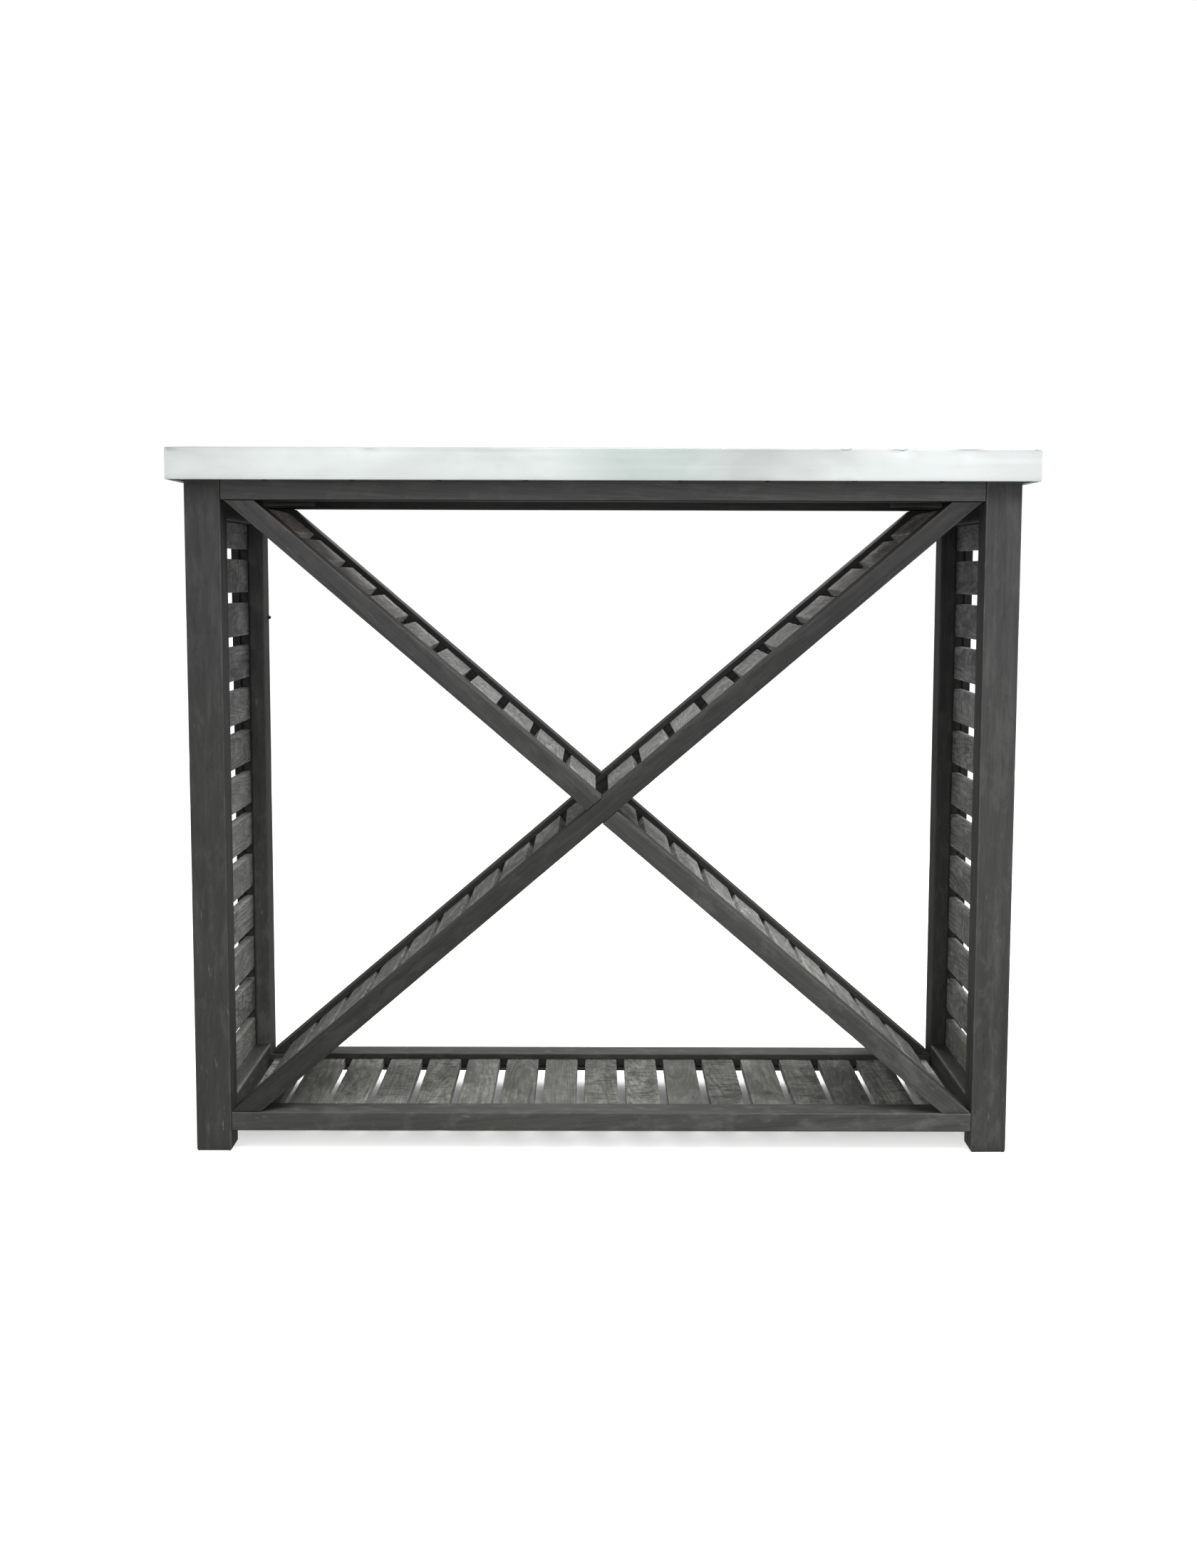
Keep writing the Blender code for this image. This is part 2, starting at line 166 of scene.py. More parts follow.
# The bare board under the zinc: its soft and hard wood, rings and patches
BARE_SOFT = (0.30, 0.22, 0.14, 1.0)
BARE_HARD = (0.46, 0.36, 0.25, 1.0)
BARE_RING = (0.24, 0.155, 0.09, 1.0)
BARE_PATCH = (0.36, 0.30, 0.23, 1.0)

# Two shades of the steel
STEEL_BLACK = (0.030, 0.030, 0.033, 1.0)
STEEL_WORN = (0.085, 0.080, 0.078, 1.0)

# Two tints of the sawn slats: patches of bare wood, and what filters their colour near the floor
SAWN_ROSY = (0.245, 0.226, 0.220, 1.0)
SAWN_LOW_FILTER = (1.0, 1.0, 0.91, 1.0)

# Shades of the zinc along its length, with painted light at its right end, and those of its specks, the
# painted shade over its top with the patina and scratches from use, and the painted dark reflection along its
# fold
ZINC_CLOUD = (0.712, 0.752, 0.736, 1.0)
ZINC_CLEAR = (0.778, 0.822, 0.806, 1.0)
ZINC_GREEN = (0.572, 0.640, 0.618, 1.0)
ZINC_DULL = (0.566, 0.594, 0.587, 1.0)
ZINC_BRIGHT = (0.762, 0.802, 0.793, 1.0)
ZINC_SPECK = (0.42, 0.46, 0.46, 1.0)
ZINC_USED_TOP = (0.52, 0.53, 0.53, 1.0)
ZINC_PATINA = (0.27, 0.29, 0.29, 1.0)
ZINC_SCRATCH = (0.60, 0.64, 0.63, 1.0)
ZINC_FOLD_LINE = (0.30, 0.33, 0.33, 1.0)

# Knocks in the front fold of the zinc: place along the bench, size, depth
FOLD_KNOCKS = (
    (0.298, 0.0040, 0.0016),
    (0.369, 0.0055, 0.0018),
    (0.452, 0.0120, 0.0008),
    (-0.290, 0.0050, 0.0006),
)
CORNER_NOTCH = (0.006, 0.0012)

# Tacks under the hem: distance of the first from each end, their spacing, size, and points round a head
TACK_START = 0.016
TACK_SPACING = 0.108
TACK_RADIUS = 0.0032
TACK_HEIGHT = 0.0012
TACK_AROUND = 16
TACK_RINGS = 5

# Camera, from the fit to the photograph
CAMERA_PLACE = Vector((-0.009, -2.582, 0.742))
CAMERA_PITCH = math.radians(6.22)
CAMERA_YAW = math.radians(-0.099)
CAMERA_ROLL = math.radians(-0.149)
CAMERA_LENS = 43.78
SENSOR = 36.0

# Brightness of the white floor by itself, near the bench and far from it, how much it changes in front of the
# shelf (painted light) and under it (painted shadow), and the brightness of the white room
FLOOR_GLOW = 0.38
FLOOR_FAR_GLOW = 1.0
FRONT_LIFT = 1.9
UNDER_DROP = 0.05
ROOM_GLOW = 0.34
FLOOR_REACH = 30.0


# --- repeatable noise


def cell_value(cells, seed):
    """A repeatable number from 0 to 1 for each whole-number cell."""
    mixed = cells[..., 0] * 73856093 ^ cells[..., 1] * 19349663 ^ cells[..., 2] * 83492791
    mixed = mixed ^ (seed * 2654435 + 97531)
    mixed = (mixed ^ (mixed >> 15)) * 1103515245 & 0x7FFFFFFF
    mixed = (mixed ^ (mixed >> 11)) * 747796405 & 0x7FFFFFFF
    return (mixed >> 7 & 0xFFFFF) / 0xFFFFF


def smooth_noise(points, seed):
    """Smooth noise from -1 to 1, with one swing for each unit of the points."""
    base = np.floor(points)
    part = points - base
    part = part * part * (3 - 2 * part)
    base = base.astype(np.int64)
    total = np.zeros(points.shape[:-1])
    for corner in itertools.product((0, 1), repeat=3):
        weight = np.prod(np.where(corner, part, 1 - part), axis=-1)
        total += weight * cell_value(base + np.array(corner), seed)
    return 2 * total - 1


# --- boards


def planed_relief(points, nearness, seed):
    """How far a planed surface lies below its full size: slight tool waves, and knocked corners."""
    waves = 0.5 + 0.5 * smooth_noise(points * (14, 70, 70), seed)
    knocks = np.clip(smooth_noise(points * (48, 30, 30), seed + 1) - 0.35, 0, 1)
    return 0.00012 * waves + KNOCK * knocks * nearness


def sawn_relief(points, nearness, seed):
    """The same for a rough-sawn surface: raised fibres, marks across the board from the saw, chips and torn
    corners. Its mean lies near the full size, so the gaps between slats keep their width."""
    fibres = 0.5 + 0.5 * smooth_noise(points * (22, 330, 330), seed)
    hollows = 0.5 + 0.5 * smooth_noise(points * (16, 40, 40), seed + 1)
    pitch = 0.0062 + 0.0030 * cell_value(np.array((seed, 3, 5)), 7)
    arc = 9.0 * (cell_value(np.array((seed, 8, 1)), 9) - 0.5)
    marks = 0.5 + 0.5 * np.sin(2 * np.pi * (points[..., 0] + arc * points[..., 1] ** 2) / pitch)
    patch = np.clip(0.6 * smooth_noise(points * (20, 26, 26), seed + 2) + 0.35, 0, 1)
    chips = np.clip(smooth_noise(points * (150, 48, 48), seed + 4) - 0.30, 0, 1) * chipped(seed)
    torn = np.clip(smooth_noise(points * (85, 40, 40), seed + 3) - 0.15, 0, 1)
    rough = 0.00018 * fibres + 0.00020 * hollows + 0.00020 * marks * patch + 0.0009 * chips
    return rough + RAGGED * torn * nearness - SAWN_PROUD


def chipped(seed):
    """How much of a slat's surface has torn away, from 0 to 1: most are sound and some are rough."""
    return cell_value(np.array((seed, 2, 9)), 11) ** 2


# A surface is its relief, the arris of its corners, and the spacings of its points across and along a board
PLANED = (planed_relief, PLANED_ARRIS, PLANED_SPACING, PLANED_STEP)
SAWN = (sawn_relief, SAWN_ARRIS, SAWN_SPACING, SAWN_STEP)
HIDDEN = (planed_relief, HIDDEN_ARRIS, HIDDEN_STEP, HIDDEN_STEP)


def section(width, thickness, arris, spacing, groove):
    """The outline of a board across its length: points, outward normals, nearness to a corner, and the push
    that sinks some points into the groove. A groove is (face, from, to, depth)."""
    half_y, half_z = width / 2, thickness / 2
    faces = (
        ((arris - half_y, -half_z), (half_y - arris, -half_z), (0, -1)),
        ((half_y, arris - half_z), (half_y, half_z - arris), (1, 0)),
        ((half_y - arris, half_z), (arris - half_y, half_z), (0, 1)),
        ((-half_y, half_z - arris), (-half_y, arris - half_z), (-1, 0)),
    )
    points, normals, push = [], [], []
    for index, (start, end, normal) in enumerate(faces):
        start, end, normal = np.array(start), np.array(end), np.array(normal, float)
        count = max(2, round(np.linalg.norm(end - start) / spacing))
        places = [(share, 0.0) for share in np.linspace(0, 1, count + 1)]
        if groove and groove[0] == index:
            axis = 0 if normal[0] == 0 else 1
            shares = sorted((side - start[axis]) / (end[axis] - start[axis]) for side in groove[1:3])
            low, high = shares
            before = [place for place in places if place[0] < low - 0.02]
            after = [place for place in places if place[0] > high + 0.02]
            places = before + [(low, 0.0), (low, groove[3]), (high, groove[3]), (high, 0.0)] + after
        for share, depth in places:
            points.append(start + (end - start) * share)
            normals.append(normal)
            push.append(-normal * depth)
        turn = math.atan2(normal[1], normal[0])
        centre = points[-1] - normal * arris
        for step in (1, 2):
            angle = turn + math.radians(30 * step)
            outward = np.array((math.cos(angle), math.sin(angle)))
            points.append(centre + outward * arris)
            normals.append(outward)
            push.append(np.zeros(2))
    points, normals, push = np.array(points), np.array(normals), np.array(push)
    corner = np.hypot(half_y - np.abs(points[:, 0]), half_z - np.abs(points[:, 1]))
    return points, normals, np.exp(-corner / CORNER_WEAR_REACH), push


def stations(length, step, end_arris, groove_span):
    """Where the outline is repeated along the board: (place, inset, groove open)."""
    half = length / 2
    rows = []
    for side, arris in ((-1, end_arris[0]), (1, end_arris[1])):
        for angle in (0, 30, 60, 90):
            turn = math.radians(angle)
            rows.append((side * (half - arris + arris * math.sin(turn)), arris * (1 - math.cos(turn))))
    inner = np.linspace(-half + end_arris[0], half - end_arris[1], max(3, round(length / step)))[1:-1]
    rows += [(place, 0.0) for place in inner]
    rows.sort()
    if groove_span is None:
        return [(place, inset, 0.0) for place, inset in rows]
    start, end = groove_span
    opened = [(place, inset, 1.0 if start < place < end else 0.0) for place, inset in rows]
    for place, order in ((start, (0.0, 1.0)), (end, (1.0, 0.0))):
        if abs(place) < half:
            opened += [(place, 0.0, order[0]), (place, 0.0, order[1])]
    ranked = sorted(enumerate(opened), key=lambda item: (item[1][0], item[0]))
    return [row for _, row in ranked]


def log_coordinates(points, generator, knots):
    """Where each point of a board lay in its log: along the trunk, and across it from the pith. The rings
    bulge round a knot."""
    tilt = math.radians(generator.uniform(1.0, 4.5) * generator.choice((-1, 1)))
    depth = generator.uniform(0.014, 0.050) * generator.choice((-1, 1))
    aside = generator.uniform(-0.024, 0.024)
    along = generator.uniform(1.0, 19.0)
    coarseness = generator.uniform(0.75, 1.45)
    x, y, z = points[:, 0], points[:, 1], points[:, 2]
    log = np.stack(
        (
            x * math.cos(tilt) - z * math.sin(tilt) + along,
            (y + aside) * coarseness,
            (x * math.sin(tilt) + z * math.cos(tilt) + depth) * coarseness,
        ),
        axis=1,
    )
    core = np.zeros(len(points))
    for knot_x, knot_y, size in knots:
        far = np.hypot((x - knot_x) * 0.6, y - knot_y)
        log[:, 2] += math.copysign(1, depth) * 2.6 * size * np.exp(-((far / (1.5 * size)) ** 2))
        core = np.maximum(core, np.exp(-((far / size) ** 4)))
    return log, core


def no_shear(heights):
    """The end of a board that is sawn square."""
    return np.zeros_like(heights)


def board_points(length, rows, outline, outward, shears):
    """The places of a board's rows along it, and its points at full size, slanted at the sawn ends."""
    place = np.array([row[0] for row in rows])[:, None]
    inset = np.array([row[1] for row in rows])[:, None, None]
    flat = outline[None] - outward[None] * inset
    reach = min(SHEAR_REACH, length / 3)
    start_share = np.clip(1 - (place + length / 2) / reach, 0, 1)
    end_share = np.clip(1 - (length / 2 - place) / reach, 0, 1)
    shifted = place + start_share * shears[0](flat[..., 1]) + end_share * shears[1](flat[..., 1])
    shifted = np.broadcast_to(shifted, flat.shape[:2])
    return place, np.concatenate((shifted[..., None], flat), axis=2)


def board_faces(count, around):
    """The long faces between the outlines of a board, and its two ends."""
    ring = np.arange(around)
    first = (np.arange(count - 1)[:, None] * around + ring).ravel()
    second = (np.arange(count - 1)[:, None] * around + (ring + 1) % around).ravel()
    faces = np.stack((first, second, second + around, first + around), axis=1).tolist()
    return faces + [ring[::-1].tolist(), (ring + (count - 1) * around).tolist()]


def board_stain(options, share, outline, outward, nearness, push):
    """The stain, with painted light and shade, at each point of a board."""
    stain = np.repeat(shaded_along(options.get("stain", 0.0), share), len(outline), axis=1)
    # Painted shade behind the slats and in the housing
    if "sheltered" in options:
        stain[:, options["sheltered"](outline)] = BEHIND_SLATS_STAIN
        stain[:, np.any(push != 0, axis=1)] = HOUSING_STAIN
    # Painted light on the upper face
    if "top_stain" in options:
        stain[:, outward[:, 1] > 0.9] = options["top_stain"]
    # Painted shade on the lower corners
    if "under_stain" in options:
        stain[:, (outward[:, 1] < -0.3) & (nearness > 0.4)] = options["under_stain"]
    # A painted highlight on all corners
    if "arris_stain" in options:
        stain[:, nearness > 0.4] = options["arris_stain"]
    return stain


def board(name, size, matrix, finish, surface, seed, **options):
    """A board whose length, width and thickness lie along its own X, Y and Z. Options: end_arris for its two
    ends, worn_ends, groove and groove_span for a housing, shears for ends that are sawn at an angle, knots,
    stain, which holds painted light and shade as well as stain, and more for some parts alone: top_stain,
    painted light on the upper face, under_stain, painted shade on the lower corners, arris_stain, a painted
    highlight on all corners, and sheltered, which picks the points that lie behind the slats for painted
    shade."""
    relief, arris, spacing, step = surface
    length, width, thickness = size
    outline, outward, nearness, push = section(width, thickness, arris, spacing, options.get("groove"))
    rows = stations(length, step, options.get("end_arris", (arris, arris)), options.get("groove_span"))
    shears = options.get("shears", (no_shear, no_shear))
    place, points = board_points(length, rows, outline, outward, shears)
    close = np.broadcast_to(nearness, points.shape[:2]).copy()
    if options.get("worn_ends"):
        close = np.maximum(close, np.exp((np.abs(place) - length / 2) / END_WEAR_REACH))
    opened = np.array([row[2] for row in rows])[:, None, None]
    moved = points.copy()
    moved[..., 1:] += push[None] * opened - outward[None] * relief(points, close, seed)[..., None]
    verts = moved.reshape(-1, 3)
    mesh = new_mesh(name, verts.tolist(), board_faces(len(rows), len(outline)), finish, flat=2)
    generator = np.random.default_rng(seed)
    log, core = log_coordinates(points.reshape(-1, 3), generator, options.get("knots", ()))
    turned = np.array(matrix)
    share = place / length + 0.5
    add_attribute(mesh, "log_place", log)
    add_attribute(mesh, "corner", close.ravel())
    add_attribute(mesh, "knot", core)
    add_attribute(mesh, "tone", np.full(len(log), generator.uniform(-1, 1)))
    add_attribute(mesh, "chipped", np.full(len(log), chipped(seed)))
    # The stain attribute holds painted light and shade as well as stain
    add_attribute(mesh, "stain", board_stain(options, share, outline, outward, nearness, push).ravel())
    add_attribute(mesh, "rise", verts @ turned[2, :3] + turned[2, 3])
    if "groove" in options:
        merge_doubles(mesh)
    mesh.set_sharp_from_angle(angle=SMOOTH_ANGLE)
    obj = new_object(name, mesh)
    obj.matrix_world = matrix
    return obj


def new_mesh(name, verts, faces, finish, flat=0):
    """A mesh of one material, smooth but for its last few faces."""
    mesh = bpy.data.meshes.new(name)
    mesh.from_pydata(verts, [], faces)
    mesh.polygons.foreach_set("use_smooth", [True] * (len(faces) - flat) + [False] * flat)
    mesh.materials.append(finish)
    return mesh


def new_object(name, data):
    """An object that stands in the scene."""
    obj = bpy.data.objects.new(name, data)
    bpy.context.scene.collection.objects.link(obj)
    return obj


def shaded_along(stain, share):
    """The stain, with painted light and shade, at a share of the way along a board or a row, from one number
    or from a pair.
    """
    start, end = stain if isinstance(stain, tuple) else (stain, stain)
    return start + (end - start) * share


def add_attribute(mesh, name, values):
    """Store a number or a vector for each point of a mesh, for its material to read."""
    kind, field = ("FLOAT_VECTOR", "vector") if values.ndim == 2 else ("FLOAT", "value")
    attribute = mesh.attributes.new(name, kind, "POINT")
    attribute.data.foreach_set(field, np.ascontiguousarray(values, np.float32).ravel())


def merge_doubles(mesh):
    """Join the points that meet where a groove begins and ends."""
    bm = bmesh.new()
    bm.from_mesh(mesh)
    bmesh.ops.remove_doubles(bm, verts=bm.verts, dist=1e-6)
    bmesh.ops.dissolve_degenerate(bm, dist=1e-7, edges=bm.edges)
    bm.to_mesh(mesh)
    bm.free()


def placed(x_axis, y_axis, z_axis, centre):
    """The matrix that lays a board's length, width and thickness along three directions."""
    turn = Matrix((x_axis, y_axis, z_axis)).transposed().to_4x4()
    return Matrix.Translation(centre) @ turn


ALONG_X = ((1, 0, 0), (0, 1, 0), (0, 0, 1))
ALONG_Y = ((0, 1, 0), (-1, 0, 0), (0, 0, 1))
ALONG_Y_ON_EDGE = ((0, 1, 0), (0, 0, 1), (1, 0, 0))
ALONG_Z = ((0, 0, 1), (1, 0, 0), (0, 1, 0))


def finish_piece(obj, slot, *nodes):
    """Make a piece part of the bench, in place of the CAD nodes that it shows better."""
    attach(obj, "root")
    if nodes:
        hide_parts(*nodes)


def box_facts(node, directions):
    """A node's size along three directions, and its centre."""
    low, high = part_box(node)
    extent = high - low
    size = [sum(abs(axis[i]) * extent[i] for i in range(3)) for axis in directions]
    return size, (low + high) / 2


def planed_board(node, directions, finish, **options):
    """A planed board in place of one CAD node."""
    size, centre = box_facts(node, directions)
    matrix = placed(*directions, centre)
    # Stain, and painted light and shade, for this board
    stain = STAIN.get(node, 0.0)
    obj = board("timber_" + node, size, matrix, finish, PLANED, next(SEEDS), stain=stain, **options)
    finish_piece(obj, "frame_timber", node)


def random_knots(seed, length, width):
    """Now and then a knot on a slat: its place along the slat and across it, and its size."""
    generator = np.random.default_rng(seed + 5000)
    if generator.uniform() > KNOT_CHANCE:
        return ()
    along = generator.uniform(-0.36, 0.36) * length
    across = generator.uniform(-0.35, 0.35) * width
    return ((along, across, generator.uniform(0.004, 0.007)),)


def sawn_slat(name, size, matrix, finish, stain, *nodes):
    """A rough-sawn slat."""
    seed = next(SEEDS)
    knots = random_knots(seed, size[0], size[1])
    obj = board(name, size, matrix, finish, SAWN, seed, knots=knots, stain=stain)
    finish_piece(obj, "slat_timber", *nodes)


# --- the timber frame


def make_legs(finish):
    """Four legs, each with the housing for the end slats and a broken foot."""
    slat_low, slat_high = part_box("side_slat_right_01")
    slats_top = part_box("side_slat_right_%02d" % SIDE_SLATS)[1].z
    off_centre = (slat_low.x + slat_high.x) / 2 - (LEG_LOW.x + LEG_HIGH.x) / 2
    half_slot = SLAT_THICKNESS / 2 + GAP
    depth = SLAT_REACH + GAP - LEG_INNER_Y
    for depth_name, side_y in FRONT_REAR:
        for side_name, side_x in LEFT_RIGHT:
            node = "leg_%s_%s" % (depth_name, side_name)
            low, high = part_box(node)
            middle = (low.z + high.z) / 2
            face = 2 if side_y < 0 else 0
            centre = side_x * off_centre
            planed_board(
                node,
                ALONG_Z,
                finish,
                end_arris=(FOOT_ARRIS, PLANED_ARRIS),
                worn_ends=True,
                # Painted shade on the face beside and behind the end slats
                sheltered=behind_slats(face, centre, half_slot, side_x),
                groove=(face, centre - half_slot, centre + half_slot, depth),
                groove_span=(slat_low.z - GAP - middle, slats_top + GAP - middle),
            )


def behind_slats(face, centre, half_slot, side_x):
    """Picks the points of a leg's grooved face from the groove outwards, which get painted shade."""
    inward = 1 if face == 2 else -1

    def picked(outline):
        outside = (outline[:, 0] - centre) * side_x > -half_slot - 1e-5
        return outside & (outline[:, 1] * inward > LEG / 2 - PLANED_ARRIS)

    return picked


def make_long_rails(finish):
    """The aprons, and the shelf rails with the housing for the shelf's slats."""
    row_low, row_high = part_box("shelf_slats")
    depth = SLAT_REACH + GAP - LEG_INNER_Y
    for depth_name, face in (("front", 1), ("rear", 3)):
        # Painted shade on the apron's lower corners
        planed_board("apron_" + depth_name, ALONG_X, finish, under_stain=RAIL_UNDER_STAIN)
        node = "shelf_rail_" + depth_name
        low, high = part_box(node)
        middle = (low.z + high.z) / 2
        planed_board(
            node,
            ALONG_X,
            finish,
            groove=(face, row_low.z - GAP - middle, row_high.z + GAP - middle, depth),
            groove_span=(row_low.x - GAP, row_high.x + GAP),
            # Painted light on the rail's upper face
            top_stain=RAIL_TOP_STAIN[depth_name],
            # Painted shade on the rail's lower corners
            under_stain=RAIL_UNDER_STAIN,
        )


def make_side_rails(finish):
    """The rails at the head and the foot of the two ends, each grooved for the slat that it holds."""
    for side_name in ("left", "right"):
        first_low, first_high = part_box("side_slat_%s_01" % side_name)
        last_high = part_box("side_slat_%s_%02d" % (side_name, SIDE_SLATS))[1]
        for level, face in (("top", 0), ("bottom", 2)):
            node = "side_%s_rail_%s" % (level, side_name)
            low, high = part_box(node)
            depth = last_high.z + GAP - low.z if level == "top" else high.z - first_low.z + GAP
            middle = (low.x + high.x) / 2
            edges = sorted((middle - first_low.x + GAP, middle - first_high.x - GAP))
            planed_board(
                node,
                ALONG_Y,
                finish,
                groove=(face, edges[0], edges[1], depth),
                groove_span=(-1.0, 1.0),
                # A painted highlight along the corners
                arris_stain=PALE_ARRIS_STAIN,
            )


def brace_directions(rising):
    """The directions along a brace, across it to the rear, and up from its face."""
    angle = -BRACE_ANGLE if rising else BRACE_ANGLE
    turn = Matrix.Rotation(angle, 3, "Y")
    return turn @ Vector((1, 0, 0)), Vector((0, 1, 0)), turn @ Vector((0, 0, 1))


def brace_row():
    """Where an arm's row of slats begins and ends, measured out from the crossing."""
    return BRACE_SLATS_START, BRACE_SLATS_START + (BRACE_SLATS - 1) * BRACE_PITCH + SLAT_WIDTH


def sawn_end(along, up, crossing, point, normal):
    """Where a saw cut meets a bar's own centre line, and how it slants with height above that line."""
    normal = Vector(normal)
    slope = -up.dot(normal) / along.dot(normal)
    distance = (Vector(point) - crossing).dot(normal) / along.dot(normal)
    return distance, slope


def make_brace(node, side_y, rising, cuts, spans, finish):
    """One bar of the cross between two saw cuts, with the housing for its slats."""
    along, across, up = brace_directions(rising)
    crossing = Vector((0, side_y * LEG_CENTRE_Y, CROSSING_Z))
    ends = sorted(sawn_end(along, up, crossing, point, normal) for point, normal in cuts)
    start, end = ends[0][0], ends[1][0]
    middle = (start + end) / 2
    top = RAIL / 2 - SLAT_RECESS
    face = 1 if side_y < 0 else 3
    obj = board(
        "timber_" + node,
        (end - start, LEG, RAIL),
        placed(along, across, up, crossing + along * middle),
        finish,
        PLANED,
        next(SEEDS),
        shears=(lambda heights: heights * ends[0][1], lambda heights: heights * ends[1][1]),
        groove=(face, top - SLAT_THICKNESS - GAP, top + GAP, SLAT_REACH + GAP - LEG_INNER_Y),
        groove_span=(spans[0] - GAP - middle, spans[1] + GAP - middle),
        # Stain, and painted light and shade, for this bar
        stain=STAIN.get(node, 0.0),
    )
    finish_piece(obj, "frame_timber", node)


def make_braces(finish):
    """The crossed bars. The rising pair runs through and the falling pair is cut in two against it."""
    head = ((0, 0, APRON_BOTTOM - GAP), (0, 0, 1))
    foot = ((0, 0, SHELF_RAIL_TOP + GAP), (0, 0, 1))
    up = brace_directions(True)[2]
    crossing = Vector((0, 0, CROSSING_Z))
    above = (crossing + up * (RAIL / 2 + GAP), up)
    below = (crossing - up * (RAIL / 2 + GAP), up)
    start, end = brace_row()
    for depth_name, side_y in FRONT_REAR:
        node = "brace_" + depth_name
        make_brace(node + "_rising", side_y, True, (head, foot), (-end, end), finish)
        make_brace(node + "_upper_left", side_y, False, (head, above), (-end, -start), finish)
        make_brace(node + "_lower_right", side_y, False, (foot, below), (start, end), finish)


def make_blocks(finish):
    """The blocks that fix the top to the aprons."""
    for depth_name in ("front", "rear"):
        for side_name in ("left", "right"):
            node = "top_block_%s_%s" % (depth_name, side_name)
            # A painted highlight along the block's corners
            planed_board(node, ALONG_X, finish, arris_stain=PALE_ARRIS_STAIN)


# --- the slats


def make_side_slats(finish):
    """The level slats of the two ends."""
    for side_name in ("left", "right"):
        for index in range(SIDE_SLATS):
            node = "side_slat_%s_%02d" % (side_name, index + 1)
            size, centre = box_facts(node, ALONG_Y_ON_EDGE)
            # Stain, and painted light and shade, for this slat
            stain = shaded_along(END_SLAT_STAIN, index / (SIDE_SLATS - 1))
            sawn_slat("sawn_" + node, size, placed(*ALONG_Y_ON_EDGE, centre), finish, stain, node)


def make_shelf_slats(finish):
    """The slats of the shelf, which run front to back."""
    low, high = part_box("shelf_slats")
    pitch = (high.x - low.x - SLAT_WIDTH) / (SHELF_SLATS - 1)
    for index in range(SHELF_SLATS):
        centre = Vector((low.x + SLAT_WIDTH / 2 + index * pitch, 0, (low.z + high.z) / 2))
        size = (high.y - low.y, SLAT_WIDTH, high.z - low.z)
        name = "shelf_slat_%02d" % (index + 1)
        # Stain, and painted light and shade, for this slat
        stain = SHELF_SLAT_STAIN[index]
        sawn_slat(name, size, placed(*ALONG_Y, centre), finish, stain, "shelf_slats")


def make_brace_slats(finish):
    """The slats of the four arms of the cross."""
    arms = (
        ("upper_left", False, -1),
        ("upper_right", True, 1),
        ("lower_left", True, -1),
        ("lower_right", False, 1),
    )
    rise = RAIL / 2 - SLAT_RECESS - SLAT_THICKNESS / 2
    size = (2 * SLAT_REACH, SLAT_WIDTH, SLAT_THICKNESS)
    for arm, rising, direction in arms:
        along, across, up = brace_directions(rising)
        for index in range(BRACE_SLATS):
            out = direction * (BRACE_SLATS_START + index * BRACE_PITCH + SLAT_WIDTH / 2)
            centre = Vector((0, 0, CROSSING_Z)) + along * out + up * rise
            name = "brace_slat_%s_%02d" % (arm, index + 1)
            # Stain, and painted light and shade, for this slat
            stain = shaded_along(BRACE_SLAT_STAIN[arm], index / (BRACE_SLATS - 1))
            sawn_slat(name, size, placed(across, -along, up, centre), finish, stain, "brace_slats_" + arm)


# --- the worktop


def spread(half):
    """Places across the top from -half to half, close together at both edges."""
    inner = half - ZINC_EDGE_STEP * 3
    middle = np.linspace(-inner, inner, max(2, round(2 * inner / ZINC_STEP)))
    return np.concatenate(((-half, -half + ZINC_EDGE_STEP), middle, (half - ZINC_EDGE_STEP, half)))


def zinc_waves(points):
    """How far the sheet lies inside its full size: long soft waves."""
    waves = 0.5 + 0.5 * smooth_noise(points * (7, 9, 30), ZINC_SEED)
    ripples = 0.5 + 0.5 * smooth_noise(points * (24, 30, 60), ZINC_SEED + 1)
    return 0.00022 * waves + 0.00006 * ripples


def zinc_knocks(points, high):
    """Knocks along the upper front fold, and the notches where the folded corners meet."""
    depth = np.zeros(len(points))
    front = (points[:, 1] + high.y) ** 2
    above = (points[:, 2] - high.z) ** 2
    for x, size, sunk in FOLD_KNOCKS:
        far = (points[:, 0] - x) ** 2 + front + above
        depth += sunk * np.exp(-far / size**2)
    size, sunk = CORNER_NOTCH
    for side in (-1, 1):
        for end in (-1, 1):
            far = (points[:, 0] - end * high.x) ** 2 / 4 + (points[:, 1] - side * high.y) ** 2 + above * 4
            depth += sunk * np.exp(-far / size**2 * 2)
    return depth


def fold_profile(high, low):
    """The outline of the folded sheet from the edge of its top: (reach outward, height)."""
    rows = []
    for angle in (30, 60, 90):
        turn = math.radians(angle)
        rows.append((ZINC_FOLD * math.sin(turn), high - ZINC_FOLD * (1 - math.cos(turn))))
    rows += [(ZINC_FOLD, z) for z in np.linspace(high - ZINC_FOLD, low + ZINC_LOWER_FOLD, 8)[1:]]
    for angle in (45, 90):
        turn = math.radians(angle)
        inward = ZINC_LOWER_FOLD * (1 - math.cos(turn))
        rows.append((ZINC_FOLD - inward, low + ZINC_LOWER_FOLD * (1 - math.sin(turn))))
    return rows + [(ZINC_FOLD - ZINC_HEM / 2, low), (ZINC_FOLD - ZINC_HEM, low)]


